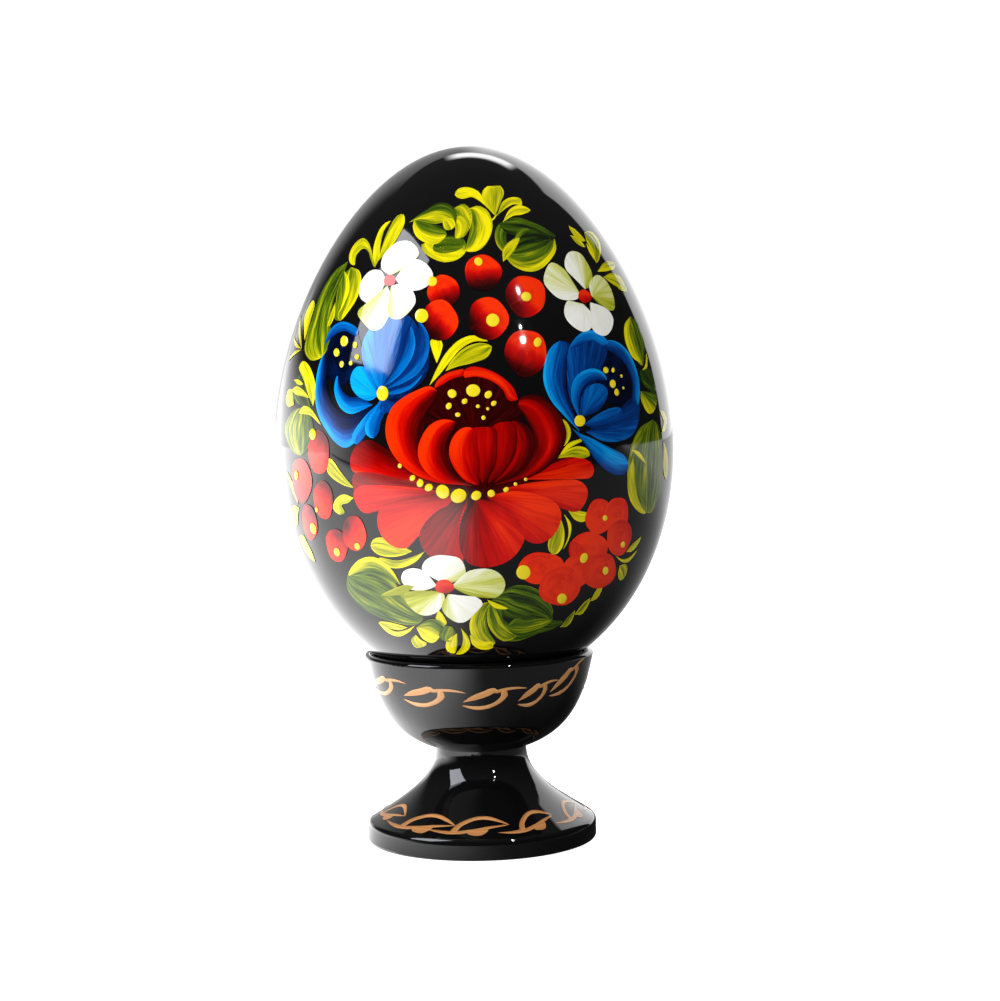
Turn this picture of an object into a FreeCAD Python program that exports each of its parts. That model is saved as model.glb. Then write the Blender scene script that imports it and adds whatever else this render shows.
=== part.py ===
"""A painted wooden egg on its turned stand.

Three turned pieces: a solid egg, the cup that it rests in, and the flared foot that carries
the cup on a glued tenon. The egg is loose and lifts off.
The frame is in millimetres, +Z up, with its origin at the centre of the foot's underside.
"""

import math
import os

import FreeCAD
import Part

# Driving dimensions, in millimetres.
OVERALL_HEIGHT = 87.0
EGG_WIDTH = 50.0
EGG_HEIGHT = 68.0
STAND_DIAMETER = 29.0
NECK_DIAMETER = 11.6
JOINT_HEIGHT = 11.7
LIP_RADIUS = 0.6
SEAT_GAP = 0.05

# The egg's outline: its half width at a turn t from the blunt pole's opposite end is
# half the width times sin t times this polynomial in cos t.
EGG_FULLNESS = 0.9928
EGG_TAPER = -0.1255
EGG_SHOULDER = -0.0407
EGG_TIP = 0.0194
EGG_OUTLINE_POINTS = 41

# The foot's edge and its concave flare.
FOOT_WALL_TOP = 1.9
FOOT_UNDER_ROUND = 0.4
FLARE_END_RADIUS = 14.1
FLARE_END_HEIGHT = 2.68
FLARE_NECK_PULL = 3.1
FLARE_EDGE_PULL = 7.5
FLARE_EDGE_SLOPE = math.radians(31.0)

# The cup's bowl outside, and the dished seat inside it.
BOWL_WALL_LEAN = math.radians(12.0)
BOWL_WALL_PULL = 6.6
BOWL_UNDER_SLOPE = math.radians(18.0)
BOWL_UNDER_PULL = 5.5
SEAT_FLOOR_HEIGHT = 16.6

# The glued tenon on top of the foot.
TENON_DIAMETER = 6.0
TENON_LENGTH = 3.0
GLUE_GAP = 0.05
TENON_CHAMFER = 0.4

EGG_MIDDLE_HEIGHT = OVERALL_HEIGHT - EGG_HEIGHT / 2
STAND_RADIUS = STAND_DIAMETER / 2
NECK_RADIUS = NECK_DIAMETER / 2


def point(radius, height):
    """A point of an outline, which stands in the XZ plane."""
    return FreeCAD.Vector(radius, 0, height)


def straight(start, end):
    return Part.LineSegment(start, end).toShape()


def turned(edges):
    """The solid that a closed outline beside the Z axis makes when it is turned about Z."""
    face = Part.Face(Part.Wire(edges))
    solid = face.revolve(FreeCAD.Vector(0, 0, 0), FreeCAD.Vector(0, 0, 1), 360)
    if not solid.isValid() or solid.Volume <= 0:
        raise RuntimeError("an outline didn't turn into a valid solid")
    return solid


def egg_point(turn):
    """The egg's outline at a turn from 0, its tip, to pi, its bottom."""
    c = math.cos(turn)
    swell = EGG_FULLNESS + EGG_TAPER * c + EGG_SHOULDER * c**2 + EGG_TIP * c**3
    return point(EGG_WIDTH / 2 * math.sin(turn) * swell, EGG_MIDDLE_HEIGHT + EGG_HEIGHT / 2 * c)


def make_egg():
    """The egg, turned from one piece of wood."""
    turns = [math.pi * i / (EGG_OUTLINE_POINTS - 1) for i in range(EGG_OUTLINE_POINTS)]
    outline = Part.BSplineCurve()
    outline.interpolate(
        Points=[point(0, OVERALL_HEIGHT)]
        + [egg_point(turn) for turn in turns[1:-1]]
        + [point(0, OVERALL_HEIGHT - EGG_HEIGHT)],
        InitialTangent=FreeCAD.Vector(1, 0, 0),
        FinalTangent=FreeCAD.Vector(-1, 0, 0),
    )
    return turned([outline.toShape(), straight(outline.EndPoint, outline.StartPoint)])


def lip_centre():
    """The centre of the lip's round, placed so that the egg sits on the lip with the seat's gap."""
    radius = STAND_RADIUS - LIP_RADIUS
    reach = LIP_RADIUS + SEAT_GAP
    low, high = math.pi / 2, math.pi
    for _ in range(60):
        turn = (low + high) / 2
        here = egg_point(turn)
        ahead = egg_point(turn + 1e-4)
        along = (ahead - here).normalize()
        outward = FreeCAD.Vector(-along.z, 0, along.x)
        centre = here + outward * reach
        if centre.x > radius:
            low = turn
        else:
            high = turn
    return point(radius, centre.z)


def make_cup():
    """The cup: a bowl with a rounded lip that the egg rests on, and a socket for the tenon."""
    lip = lip_centre()
    lip_outside = point(STAND_RADIUS, lip.z)
    lip_top = point(lip.x, lip.z + LIP_RADIUS)
    lip_inside = point(lip.x - LIP_RADIUS, lip.z)
    under = point(NECK_RADIUS, JOINT_HEIGHT)
    socket_radius = TENON_DIAMETER / 2 + GLUE_GAP
    socket_top = JOINT_HEIGHT + TENON_LENGTH + GLUE_GAP
    seat_middle = point(0, SEAT_FLOOR_HEIGHT)
    dish_depth = lip.z - SEAT_FLOOR_HEIGHT
    dish_radius = (lip_inside.x**2 + dish_depth**2) / (2 * dish_depth)
    dish_half_turn = math.asin(lip_inside.x / dish_radius) / 2
    seat_between = point(
        dish_radius * math.sin(dish_half_turn),
        SEAT_FLOOR_HEIGHT + dish_radius * (1 - math.cos(dish_half_turn)),
    )
    bowl = Part.BezierCurve()
    bowl.setPoles(
        [
            lip_outside,
            lip_outside + point(-math.sin(BOWL_WALL_LEAN), -math.cos(BOWL_WALL_LEAN)) * BOWL_WALL_PULL,
            under + point(math.cos(BOWL_UNDER_SLOPE), math.sin(BOWL_UNDER_SLOPE)) * BOWL_UNDER_PULL,
            under,
        ]
    )
    return turned(
        [
            Part.Arc(seat_middle, seat_between, lip_inside).toShape(),
            Part.Arc(lip_inside, lip_top, lip_outside).toShape(),
            bowl.toShape(),
            straight(under, point(socket_radius, JOINT_HEIGHT)),
            straight(point(socket_radius, JOINT_HEIGHT), point(socket_radius, socket_top)),
            straight(point(socket_radius, socket_top), point(0, socket_top)),
            straight(point(0, socket_top), seat_middle),
        ]
    )


def make_foot():
    """The flared foot, with the tenon that is glued into the cup."""
    tenon_radius = TENON_DIAMETER / 2
    tenon_top = JOINT_HEIGHT + TENON_LENGTH
    neck = point(NECK_RADIUS, JOINT_HEIGHT)
    flare_end = point(FLARE_END_RADIUS, FLARE_END_HEIGHT)
    wall_top = point(STAND_RADIUS, FOOT_WALL_TOP)
    wall_bottom = point(STAND_RADIUS, FOOT_UNDER_ROUND)
    under_edge = point(STAND_RADIUS - FOOT_UNDER_ROUND, 0)
    slope = point(-math.cos(FLARE_EDGE_SLOPE), math.sin(FLARE_EDGE_SLOPE))
    flare = Part.BezierCurve()
    flare.setPoles(
        [neck, neck - point(0, FLARE_NECK_PULL), flare_end + slope * FLARE_EDGE_PULL, flare_end]
    )
    edge_round = Part.BezierCurve()
    edge_pull = (STAND_RADIUS - FLARE_END_RADIUS) * 0.75
    edge_round.setPoles(
        [flare_end, flare_end - slope * edge_pull, wall_top + point(0, edge_pull), wall_top]
    )
    under_middle = math.sqrt(0.5) * FOOT_UNDER_ROUND
    under_between = point(under_edge.x + under_middle, FOOT_UNDER_ROUND - under_middle)
    return turned(
        [
            straight(point(0, 0), point(0, tenon_top)),
            straight(point(0, tenon_top), point(tenon_radius - TENON_CHAMFER, tenon_top)),
            straight(
                point(tenon_radius - TENON_CHAMFER, tenon_top),
                point(tenon_radius, tenon_top - TENON_CHAMFER),
            ),
            straight(point(tenon_radius, tenon_top - TENON_CHAMFER), point(tenon_radius, JOINT_HEIGHT)),
            straight(point(tenon_radius, JOINT_HEIGHT), neck),
            flare.toShape(),
            edge_round.toShape(),
            straight(wall_top, wall_bottom),
            Part.Arc(wall_bottom, under_between, under_edge).toShape(),
            straight(under_edge, point(0, 0)),
        ]
    )


os.makedirs("parts", exist_ok=True)
for name, make in (("egg", make_egg), ("stand_cup", make_cup), ("stand_foot", make_foot)):
    solid = make()
    solid.exportStep(f"parts/{name}.step")
    box = solid.BoundBox
    print(f"{name}: {solid.Volume:.0f} mm3, z {box.ZMin:.2f} to {box.ZMax:.2f}, width {box.XLength:.2f}")
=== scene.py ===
import math

import bpy
import numpy as np
from mathutils import Matrix, Vector


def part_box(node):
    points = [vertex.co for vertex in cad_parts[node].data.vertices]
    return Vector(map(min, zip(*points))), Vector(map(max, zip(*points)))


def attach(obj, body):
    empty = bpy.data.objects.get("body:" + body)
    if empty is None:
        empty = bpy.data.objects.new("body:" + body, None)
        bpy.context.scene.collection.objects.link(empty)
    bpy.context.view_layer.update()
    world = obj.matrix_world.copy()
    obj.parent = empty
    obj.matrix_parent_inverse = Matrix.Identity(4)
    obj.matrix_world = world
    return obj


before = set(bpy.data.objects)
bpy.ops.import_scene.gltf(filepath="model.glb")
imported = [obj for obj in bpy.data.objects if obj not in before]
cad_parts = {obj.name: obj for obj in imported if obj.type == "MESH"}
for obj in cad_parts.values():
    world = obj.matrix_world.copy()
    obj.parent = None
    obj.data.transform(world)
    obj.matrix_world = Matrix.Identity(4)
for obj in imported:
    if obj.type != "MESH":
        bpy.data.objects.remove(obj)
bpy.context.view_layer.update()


# The room: a pale table top that ends in front of the egg, a white wall behind, a dark room on the
# camera's side, one large soft light high on the left, three small lamps high on the right, and two
# weak lights that fill the shadows. The lacquer reflects patches of brightness in the room and table.
scene = bpy.context.scene
scene.view_settings.view_transform = "Standard"
CAMERA_DISTANCE = 0.25
CAMERA_HEIGHT = 0.055
CAMERA_DOWN = math.radians(2.83)
CAMERA_RIGHT = math.radians(0.71)
CAMERA_ROLL = math.radians(1.137)
CAMERA_LENS = 71.3


def join(tree, value, socket):
    """Links a field, or a node's first output, to a socket, or sets the socket to a plain value."""
    if isinstance(value, bpy.types.Node):
        value = value.outputs[0]
    if isinstance(value, Field):
        value = value.socket
    if isinstance(value, bpy.types.NodeSocket):
        tree.links.new(value, socket)
    else:
        socket.default_value = value


def calc(tree, operation, *values):
    """The field that a Math node gives for numbers or fields."""
    node = tree.nodes.new("ShaderNodeMath")
    node.operation = operation
    for socket, value in zip(node.inputs, values):
        join(tree, value, socket)
    return Field(node.outputs[0])


class Field:
    """A socket's value, so that the sums of a node tree are written as plain sums."""

    def __init__(self, socket):
        self.socket = socket
        self.tree = socket.id_data

    def __add__(self, other):
        return calc(self.tree, "ADD", self, other)

    def __sub__(self, other):
        return calc(self.tree, "SUBTRACT", self, other)

    def __rsub__(self, other):
        return calc(self.tree, "SUBTRACT", other, self)

    def __mul__(self, other):
        return calc(self.tree, "MULTIPLY", self, other)

    def __truediv__(self, other):
        return calc(self.tree, "DIVIDE", self, other)

    __radd__ = __add__
    __rmul__ = __mul__

    def at_least(self, other):
        """The larger of this and another."""
        return calc(self.tree, "MAXIMUM", self, other)

    def blend(self, none, full):
        """0 at none and past it, 1 at full and past it, and a smooth change between them."""
        node = self.tree.nodes.new("ShaderNodeMapRange")
        node.interpolation_type = "SMOOTHSTEP"
        for socket, value in zip(node.inputs, (self, none, full)):
            join(self.tree, value, socket)
        return Field(node.outputs[0])


def new_nodes(owner):
    """An empty node tree for a material or the world."""
    owner.use_nodes = True
    owner.node_tree.nodes.clear()
    return owner.node_tree


def add_node(tree, kind, **settings):
    """A node with its settings; a setting that is also a socket's name goes to that socket."""
    node = tree.nodes.new(kind)
    for name, value in settings.items():
        socket = node.inputs.get(name.replace("_", " "))
        if socket is None:
            setattr(node, name, value)
        else:
            join(tree, value, socket)
    return node


def split(tree, vector):
    """The three parts of a vector."""
    return [Field(part) for part in add_node(tree, "ShaderNodeSeparateXYZ", Vector=vector).outputs]


def coordinates(tree, kind="Object"):
    """A place on the object, or a direction in the world."""
    return add_node(tree, "ShaderNodeTexCoord").outputs[kind]


def seen_by_camera(tree):
    """1 for what the camera sees directly, and 0 for reflections and lighting."""
    return Field(add_node(tree, "ShaderNodeLightPath").outputs["Is Camera Ray"])


camera_data = bpy.data.cameras.new("camera")
camera_data.sensor_width = 36.0
camera_data.lens = CAMERA_LENS
camera = bpy.data.objects.new("camera", camera_data)
scene.collection.objects.link(camera)
scene.camera = camera
sideways, forwards = math.sin(CAMERA_RIGHT), math.cos(CAMERA_RIGHT)
level = math.cos(CAMERA_DOWN)
ahead = Vector((sideways * level, forwards * level, -math.sin(CAMERA_DOWN)))
level_right = ahead.cross(Vector((0, 0, 1))).normalized()
level_up = level_right.cross(ahead)
rolled_right = level_right * math.cos(CAMERA_ROLL) - level_up * math.sin(CAMERA_ROLL)
rolled_up = level_up * math.cos(CAMERA_ROLL) + level_right * math.sin(CAMERA_ROLL)
turned = Matrix((rolled_right, rolled_up, -ahead)).transposed().to_4x4()
camera.matrix_world = Matrix.Translation((0, -CAMERA_DISTANCE, CAMERA_HEIGHT)) @ turned

# A pair is where a patch of brightness is none and where it is full, as parts of a direction.
WALL_LEFT, WALL_MIDDLE, WALL_RIGHT = 2.3, 0.55, 1.75
WALL_START, WALL_END, SOFTER_END = 0.715, 0.735, 0.2
WALL_TOP = (0.72, 0.69)
LEFT_SIDE = (0.1, -0.1)
RIGHT_PART = (-0.06, 0.1)
LEFT_PART, LEFT_PART_TOP = (-0.36, -0.5), (0.27, 0.18)
STRIP_LIGHT = 6.5
STRIP_LOW, STRIP_TOP, STRIP_BACK = (0.66, 0.74), (0.83, 0.77), (0.2, 0.4)
STRIP_LEFT, STRIP_RIGHT = (-0.17, -0.05), (0.32, 0.24)
ROOM_LIGHT, CEILING_LIGHT, CEILING = 0.03, 0.06, (0.3, 0.95)
GLOW = 1.5 * WALL_LEFT
GLOW_LEFT, GLOW_TOP, GLOW_BACK = (-0.05, -0.5), (0.26, 0.0), (-0.6, 0.2)
room = bpy.data.worlds.new("room")
scene.world = room
tree = new_nodes(room)
x, y, z = split(tree, coordinates(tree, "Generated"))
level = calc(tree, "SQRT", x * x + y * y).at_least(0.001)
behind = (y / level).blend(WALL_START, x.blend(*LEFT_SIDE) * SOFTER_END + WALL_END)
right_part = x.blend(*RIGHT_PART) * (WALL_RIGHT - WALL_MIDDLE)
left_part = x.blend(*LEFT_PART) * z.blend(*LEFT_PART_TOP) * (WALL_LEFT - WALL_MIDDLE)
wall = behind * z.blend(*WALL_TOP) * (left_part + right_part + WALL_MIDDLE)
ceiling = z.blend(*CEILING) * CEILING_LIGHT + ROOM_LIGHT
low_glow = x.blend(*GLOW_LEFT) * z.blend(*GLOW_TOP) * y.blend(*GLOW_BACK) * GLOW
lit_strip = z.blend(*STRIP_LOW) * z.blend(*STRIP_TOP) * x.blend(*STRIP_LEFT) * x.blend(*STRIP_RIGHT)
lit_strip = lit_strip * y.blend(*STRIP_BACK) * STRIP_LIGHT
brightness = (wall + ceiling).at_least(low_glow).at_least(lit_strip).at_least(seen_by_camera(tree))
background = add_node(tree, "ShaderNodeBackground", Color=(1, 1, 1, 1), Strength=brightness)
add_node(tree, "ShaderNodeOutputWorld", Surface=background)

# The camera sees the table top plain and pale, while reflections and light see a painted glare that the
# table gives off itself and that varies over it, darkened by a painted shadow of the egg behind it on the
# right. Here a pair is in metres from the egg's axis, to the right or to the back.
TABLE_FRONT = -0.245
TABLE_REACH = 8.0
TABLE_GREY = 0.82
TABLE_LIGHT = 0.84
GLARE_LEFT, GLARE_RIGHT = 2.8, 0.2
GLARE_SIDE, GLARE_FRONT = (0.006, -0.028), (TABLE_FRONT, TABLE_FRONT + 0.13)
LEFT_BACK, LEFT_BACK_GLARE = (0.0, 0.08), 1.3
BACK, BACK_GLARE = (0.0, 0.35), 0.85
SHADOW = 0.9
SHADOW_WAY = (0.8, 0.6)
SHADOW_NEAR, SHADOW_FAR, SHADOW_SIDE = (-0.015, 0.006), (0.11, 0.03), (0.05, 0.008)
table_mesh = bpy.data.meshes.new("table")
across, back = (-TABLE_REACH, TABLE_REACH), TABLE_REACH
corners = [(x, TABLE_FRONT, 0) for x in across] + [(x, back, 0) for x in reversed(across)]
table_mesh.from_pydata(corners, [], [(0, 1, 2, 3)])
table = bpy.data.objects.new("table", table_mesh)
scene.collection.objects.link(table)
table_top = bpy.data.materials.new("pale_table_top")
tree = new_nodes(table_top)
x, y, z = split(tree, coordinates(tree))
glare_left = y.blend(*LEFT_BACK) * LEFT_BACK_GLARE + (GLARE_LEFT - GLARE_RIGHT)
glare = x.blend(*GLARE_SIDE) * glare_left + (y.blend(*BACK) * BACK_GLARE + GLARE_RIGHT)
# A painted shadow of the egg, falling behind it to the right, darkens the glare.
shadow_along = x * SHADOW_WAY[0] + y * SHADOW_WAY[1]
shadow_across = calc(tree, "ABSOLUTE", y * SHADOW_WAY[0] - x * SHADOW_WAY[1])
shadow = shadow_along.blend(*SHADOW_NEAR) * shadow_along.blend(*SHADOW_FAR)
shadow = shadow * shadow_across.blend(*SHADOW_SIDE)
glare = glare * (1.0 - shadow * SHADOW) * y.blend(*GLARE_FRONT)
seen_top = add_node(
    tree,
    "ShaderNodeBsdfPrincipled",
    Base_Color=(TABLE_GREY, TABLE_GREY, TABLE_GREY, 1),
    Roughness=0.8,
    Specular_IOR_Level=0.0,
    Emission_Color=(1, 1, 1, 1),
    Emission_Strength=TABLE_LIGHT,
)
either = tree.nodes.new("ShaderNodeMixShader")
sources = (seen_by_camera(tree), add_node(tree, "ShaderNodeEmission", Strength=glare), seen_top)
for socket, source in zip(either.inputs, sources):
    join(tree, source, socket)
add_node(tree, "ShaderNodeOutputMaterial", Surface=either)
table_mesh.materials.append(table_top)

LIGHT_DISTANCE, LAMP_DISTANCE = 0.8, 0.9
AIM = Vector((0, 0, 0.055))
SOFT_POWER, SOFT_AZIMUTH, SOFT_ELEVATION = 5.0, -67, 41
SOFT_SIZE = {"shape": "RECTANGLE", "size": 0.38, "size_y": 0.52}
FILL_LIGHTS = (("right", 28, 2.2), ("left", -30, 0.7))
FILL_ELEVATION, FILL_SIZE = 34, 0.35
COOL, WHITE, WARM = (0.9, 0.92, 1.0), (1.0, 1.0, 1.0), (1.0, 0.97, 0.93)
LAMPS = ((33.3, 33.0, 4.4, 0.0125), (38.5, 46.9, 1.7, 0.008), (33.5, 36.8, 0.9, 0.007))


def add_lamp(name, kind, azimuth, elevation, distance, power, colour, **settings):
    """A light facing the egg, at an azimuth from the front, an elevation and a distance."""
    data = bpy.data.lights.new(name, kind)
    data.energy = power
    data.color = colour
    for key, value in settings.items():
        setattr(data, key, value)
    lamp = bpy.data.objects.new(name, data)
    scene.collection.objects.link(lamp)
    a, e = math.radians(azimuth), math.radians(elevation)
    way = Vector((math.sin(a) * math.cos(e), -math.cos(a) * math.cos(e), math.sin(e)))
    lamp.location = way * distance + AIM
    lamp.rotation_euler = (AIM - lamp.location).to_track_quat("-Z", "Y").to_euler()
    return lamp


soft_way = (SOFT_AZIMUTH, SOFT_ELEVATION, LIGHT_DISTANCE)
add_lamp("soft_light", "AREA", *soft_way, SOFT_POWER, COOL, **SOFT_SIZE)
for side, azimuth, power in FILL_LIGHTS:
    fill_way = (azimuth, FILL_ELEVATION, LIGHT_DISTANCE)
    fill = add_lamp(f"fill_light_{side}", "AREA", *fill_way, power, WHITE, size=FILL_SIZE)
    fill.visible_glossy = False
for number, (azimuth, elevation, power, radius) in enumerate(LAMPS):
    name = f"small_lamp_{number}"
    add_lamp(name, "POINT", azimuth, elevation, LAMP_DISTANCE, power, WARM, shadow_soft_size=radius)


# The egg: turned wood under black lacquer, polished to a high gloss. The slow waves of hand
# lacquering bend its reflections a little.
LACQUER_BLACK = (0.0028, 0.0028, 0.0031, 1)
LACQUER_ROUGHNESS = 0.02
RUBBED_ROUGHNESS, RUBBED_SCALE = 0.04, 140.0
LACQUER_WAVE = 0.006
LACQUER_WAVE_DEPTH = 0.00002


def lacquer_waves(tree):
    """A Bump node for the slow waves in a lacquer film."""
    waves = {"Vector": coordinates(tree), "Scale": 1.0 / LACQUER_WAVE, "Detail": 1.0}
    height = add_node(tree, "ShaderNodeTexNoise", **waves).outputs["Fac"]
    return add_node(tree, "ShaderNodeBump", Height=height, Distance=LACQUER_WAVE_DEPTH)


def black_lacquer(name):
    """Black lacquer, polished to a gloss that varies slightly where a cloth has rubbed it."""
    material = bpy.data.materials.new(name)
    tree = new_nodes(material)
    noise = {"Vector": coordinates(tree), "Scale": RUBBED_SCALE, "Detail": 3.0}
    rubbed = Field(add_node(tree, "ShaderNodeTexNoise", **noise).outputs["Fac"])
    shader = add_node(
        tree,
        "ShaderNodeBsdfPrincipled",
        Base_Color=LACQUER_BLACK,
        Roughness=rubbed * RUBBED_ROUGHNESS + LACQUER_ROUGHNESS,
        Normal=lacquer_waves(tree),
    )
    add_node(tree, "ShaderNodeOutputMaterial", Surface=shader)
    return material


for material_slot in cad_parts["egg"].material_slots:
    material_slot.material = black_lacquer("egg_lacquer")


# The stand: a cup and a flared foot turned from wood and glued into one, under the same black
# lacquer. The egg only rests in the cup.
stand_lacquer = black_lacquer("stand_lacquer")
for node in ("stand_cup", "stand_foot"):
    for material_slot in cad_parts[node].material_slots:
        material_slot.material = stand_lacquer


# The leaves: broad round leaves, laid on first, straight on the black ground. Each is one stroke
# of a brush loaded with dark green on one side and yellow on the other, so every bristle shows.
EGG_LOW, EGG_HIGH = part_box("egg")
EGG_SHAPE = {
    "Middle": (EGG_LOW[2] + EGG_HIGH[2]) / 2,
    "Half Height": (EGG_HIGH[2] - EGG_LOW[2]) / 2,
    "Half Width": (EGG_HIGH[0] - EGG_LOW[0]) / 2,
    "Fullness": 0.9928,
    "Taper": -0.1255,
    "Shoulder": -0.0407,
    "Tip": 0.0194,
}
MM = 0.001
STROKE_FACET = 0.45
STROKE_STEP = 0.0012
STROKE_DEPTH = -0.03
STROKE_UNDERCUT = 0.12
SPAN_PLACES = 16
ROOT_REACH, ROOT_FADE, RIM_FADE = 0.55, 0.8, 5
GRAIN_STEP = 7.3
BLOT_SIDES = 28
BLOT_GRAIN = 0.4
BLOT_WOBBLE = ((3, 0.03), (5, 0.02))
DARK_START, DARK_REACH = -0.3, 1.1
POLE = 0.9999
COARSE_BRISTLES = {"fineness": 1.0, "run": 0.16, "detail": 3.0}
FINE_BRISTLES = {"fineness": 3.4, "run": 0.3, "detail": 1.0}
FINE_SHARE = 0.45
BRISTLE_RIDGE = 0.000004
TOP_ROUGHNESS, EDGE_ROUGHNESS = 0.05, 0.9
RIM_ANGLE = 35


def drawn(path):
    """The points of a path written as "across,up across,up ..." in millimetres."""
    return [tuple(float(number) for number in point.split(",")) for point in path.split()]


def as_drawn(across, up):
    """A place left where the path has it."""
    return across, up


def smooth_line(points):
    """A smooth line through the points, with SPAN_PLACES places to a span."""
    p = np.array(points, float)
    p = np.vstack([2 * p[0] - p[1], p, 2 * p[-1] - p[-2]])
    line = []
    for before, start, end, after in zip(p, p[1:], p[2:], p[3:]):
        spans = ((before, start), (start, end), (end, after))
        reach = [max(np.hypot(*(b - a)), 1e-6) ** 0.5 for a, b in spans]
        pull_start = (start - before) / reach[0] - (end - before) / (reach[0] + reach[1])
        pull_end = (after - end) / reach[2] - (after - start) / (reach[1] + reach[2])
        pull_start = (pull_start + (end - start) / reach[1]) * reach[1]
        pull_end = (pull_end + (end - start) / reach[1]) * reach[1]
        for t in np.arange(SPAN_PLACES) / SPAN_PLACES:
            line.append(
                (2 * t**3 - 3 * t**2 + 1) * start
                + (t**3 - 2 * t**2 + t) * pull_start
                + (3 * t**2 - 2 * t**3) * end
                + (t**3 - t**2) * pull_end
            )
    return np.array(line + [p[-2]])


def evenly(line, count):
    """count + 1 places spaced evenly along a line, and the line's length."""
    reach = np.concatenate([[0], np.cumsum(np.hypot(*np.diff(line, axis=0).T))])
    at = np.linspace(0, reach[-1], count + 1)
    return np.stack([np.interp(at, reach, line[:, 0]), np.interp(at, reach, line[:, 1])], axis=1), reach[-1]


def new_sheet():
    """The strokes of one paint, on a flat chart in millimetres: across, and up the egg."""
    return {"points": [], "faces": [], "top": [], "tone": [], "grain": [], "strokes": 0}


def turning(grid):
    """1 if a grid's outline turns anticlockwise, and -1 if it doesn't."""
    edge = np.concatenate([grid[0], grid[1:, -1], grid[-1, ::-1], grid[::-1, 0]])
    x, z = edge.T
    return 1 if np.sum(x * np.roll(z, -1) - z * np.roll(x, -1)) > 0 else -1


def add_shell(sheet, grid, tone, grain, lift):
    """A closed thin shell of paint over a grid of places, whose first or last row may be one point."""
    rows, columns = grid.shape[:2]
    keep = np.arange(rows * columns).reshape(rows, columns)
    for row in range(rows):
        if np.ptp(grid[row], axis=0).max() < 1e-6:
            keep[row] = keep[row, 0]
        elif np.abs(grid[row, 0] - grid[row, -1]).max() < 1e-6:
            keep[row, -1] = keep[row, 0]
    under = grid.copy()
    for edge, inner in ((0, 1), (-1, -2)):
        if keep[1, 0] != keep[1, -1]:
            under[:, edge] += np.clip(grid[:, inner] - grid[:, edge], -STROKE_UNDERCUT, STROKE_UNDERCUT)
    for edge, inner in ((0, 1), (-1, -2)):
        inwards = under[inner].mean(axis=0) - under[edge]
        under[edge] += np.clip(inwards, -STROKE_UNDERCUT, STROKE_UNDERCUT)
    base = len(sheet["points"])
    count = rows * columns
    for height, side in ((lift, grid), (STROKE_DEPTH, under)):
        sheet["points"] += [(x, -height, z) for x, z in side.reshape(-1, 2)]
        sheet["tone"] += list(tone.ravel())
        sheet["grain"] += [tuple(g) for g in grain.reshape(-1, 3)]
    turn = turning(grid)
    edges = {}
    for i in range(rows - 1):
        for j in range(columns - 1):
            corners = [keep[i, j], keep[i, j + 1], keep[i + 1, j + 1], keep[i + 1, j]][::turn]
            corners = [c for k, c in enumerate(corners) if c != corners[k - 1]]
            if len(corners) < 3:
                continue
            sheet["faces"].append([base + c for c in corners])
            sheet["faces"].append([base + count + c for c in reversed(corners)])
            sheet["top"] += [True, False]
            for a, b in zip(corners, corners[1:] + corners[:1]):
                if (b, a) in edges:
                    del edges[(b, a)]
                else:
                    edges[(a, b)] = True
    for a, b in edges:
        sheet["faces"].append([base + b, base + a, base + count + a, base + count + b])
        sheet["top"].append(False)


def add_stroke(sheet, grid, tone, across, along, lift):
    """Adds a stroke's shell, with a grain of its own across and along the bristles."""
    seed = np.full_like(across, GRAIN_STEP * sheet["strokes"])
    sheet["strokes"] += 1
    add_shell(sheet, grid, tone, np.stack([across, along, seed], axis=2), lift)


def squares(rows, columns, far=1.0):
    """How far along, up to 1, and how far across, up to far, each place of a grid is."""
    return np.meshgrid(np.linspace(0, 1, rows + 1), np.linspace(0, far, columns + 1), indexing="ij")


def paint_stroke(sheet, outline, shade, tip, root, rim, lift, place):
    """A petal or leaf in one brush stroke from its root, the outline's first point.

    Without a tip the bristles fan out to a broad rim; with one, its number in the outline, they
    follow both edges and close again there. shade is the tone from the first edge to the last,
    root what is left of it at the root, and rim what is added at the far end.
    """
    points = [place(*point) for point in drawn(outline)]
    line = smooth_line(points + points[:1])
    first, last = (1, len(points) - 1) if tip is None else (tip, tip)
    left, right = line[: SPAN_PLACES * first + 1], line[SPAN_PLACES * last :][::-1]
    across = np.linalg.norm(evenly(left, 8)[0] - evenly(right, 8)[0], axis=1).max()
    length = max(evenly(left, 8)[1], evenly(right, 8)[1])
    rim_line = line[SPAN_PLACES * first : SPAN_PLACES * last + 1]
    if tip is None:
        across = max(across, evenly(rim_line, 8)[1])
        length = max(length, np.linalg.norm(rim_line - points[0], axis=1).max())
    rows = max(4, math.ceil(length / STROKE_FACET))
    columns = max(3, math.ceil(across / STROKE_FACET))
    left, right = evenly(left, rows)[0], evenly(right, rows)[0]
    v, u = squares(rows, columns)
    grid = left[:, None] * (1 - u[..., None]) + right[:, None] * u[..., None]
    if tip is None:
        far = evenly(rim_line, columns)[0]
        grid = grid + v[..., None] * (far - grid[-1])
    tone = np.interp(u, np.linspace(0, 1, len(shade)), shade)
    fade = root + (1 - root) * np.clip(v / ROOT_REACH, 0, 1) ** ROOT_FADE
    add_stroke(sheet, grid, tone * fade + rim * v**RIM_FADE, u * across, v * length, lift)


def paint_strokes(sheet, strokes, coat, place=as_drawn, layers=40):
    """Paints strokes one over the other, each lifted a step above the last.

    Strokes are parted by semicolons, each "tip root rim | tones | outline". The tip is the number
    of a point of the outline, or fan for a broad rim, and most strokes leave the rim's tone out.
    """
    for number, stroke in enumerate(strokes.split(";")):
        ends, shade, outline = stroke.split("|")
        tip, root, *rim = ends.split()
        tip = None if tip == "fan" else int(tip)
        shade = [float(tone) for tone in shade.split()]
        lift = coat + STROKE_STEP * (number % layers)
        paint_stroke(sheet, outline, shade, tip, float(root), sum(map(float, rim)), lift, place)


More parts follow.
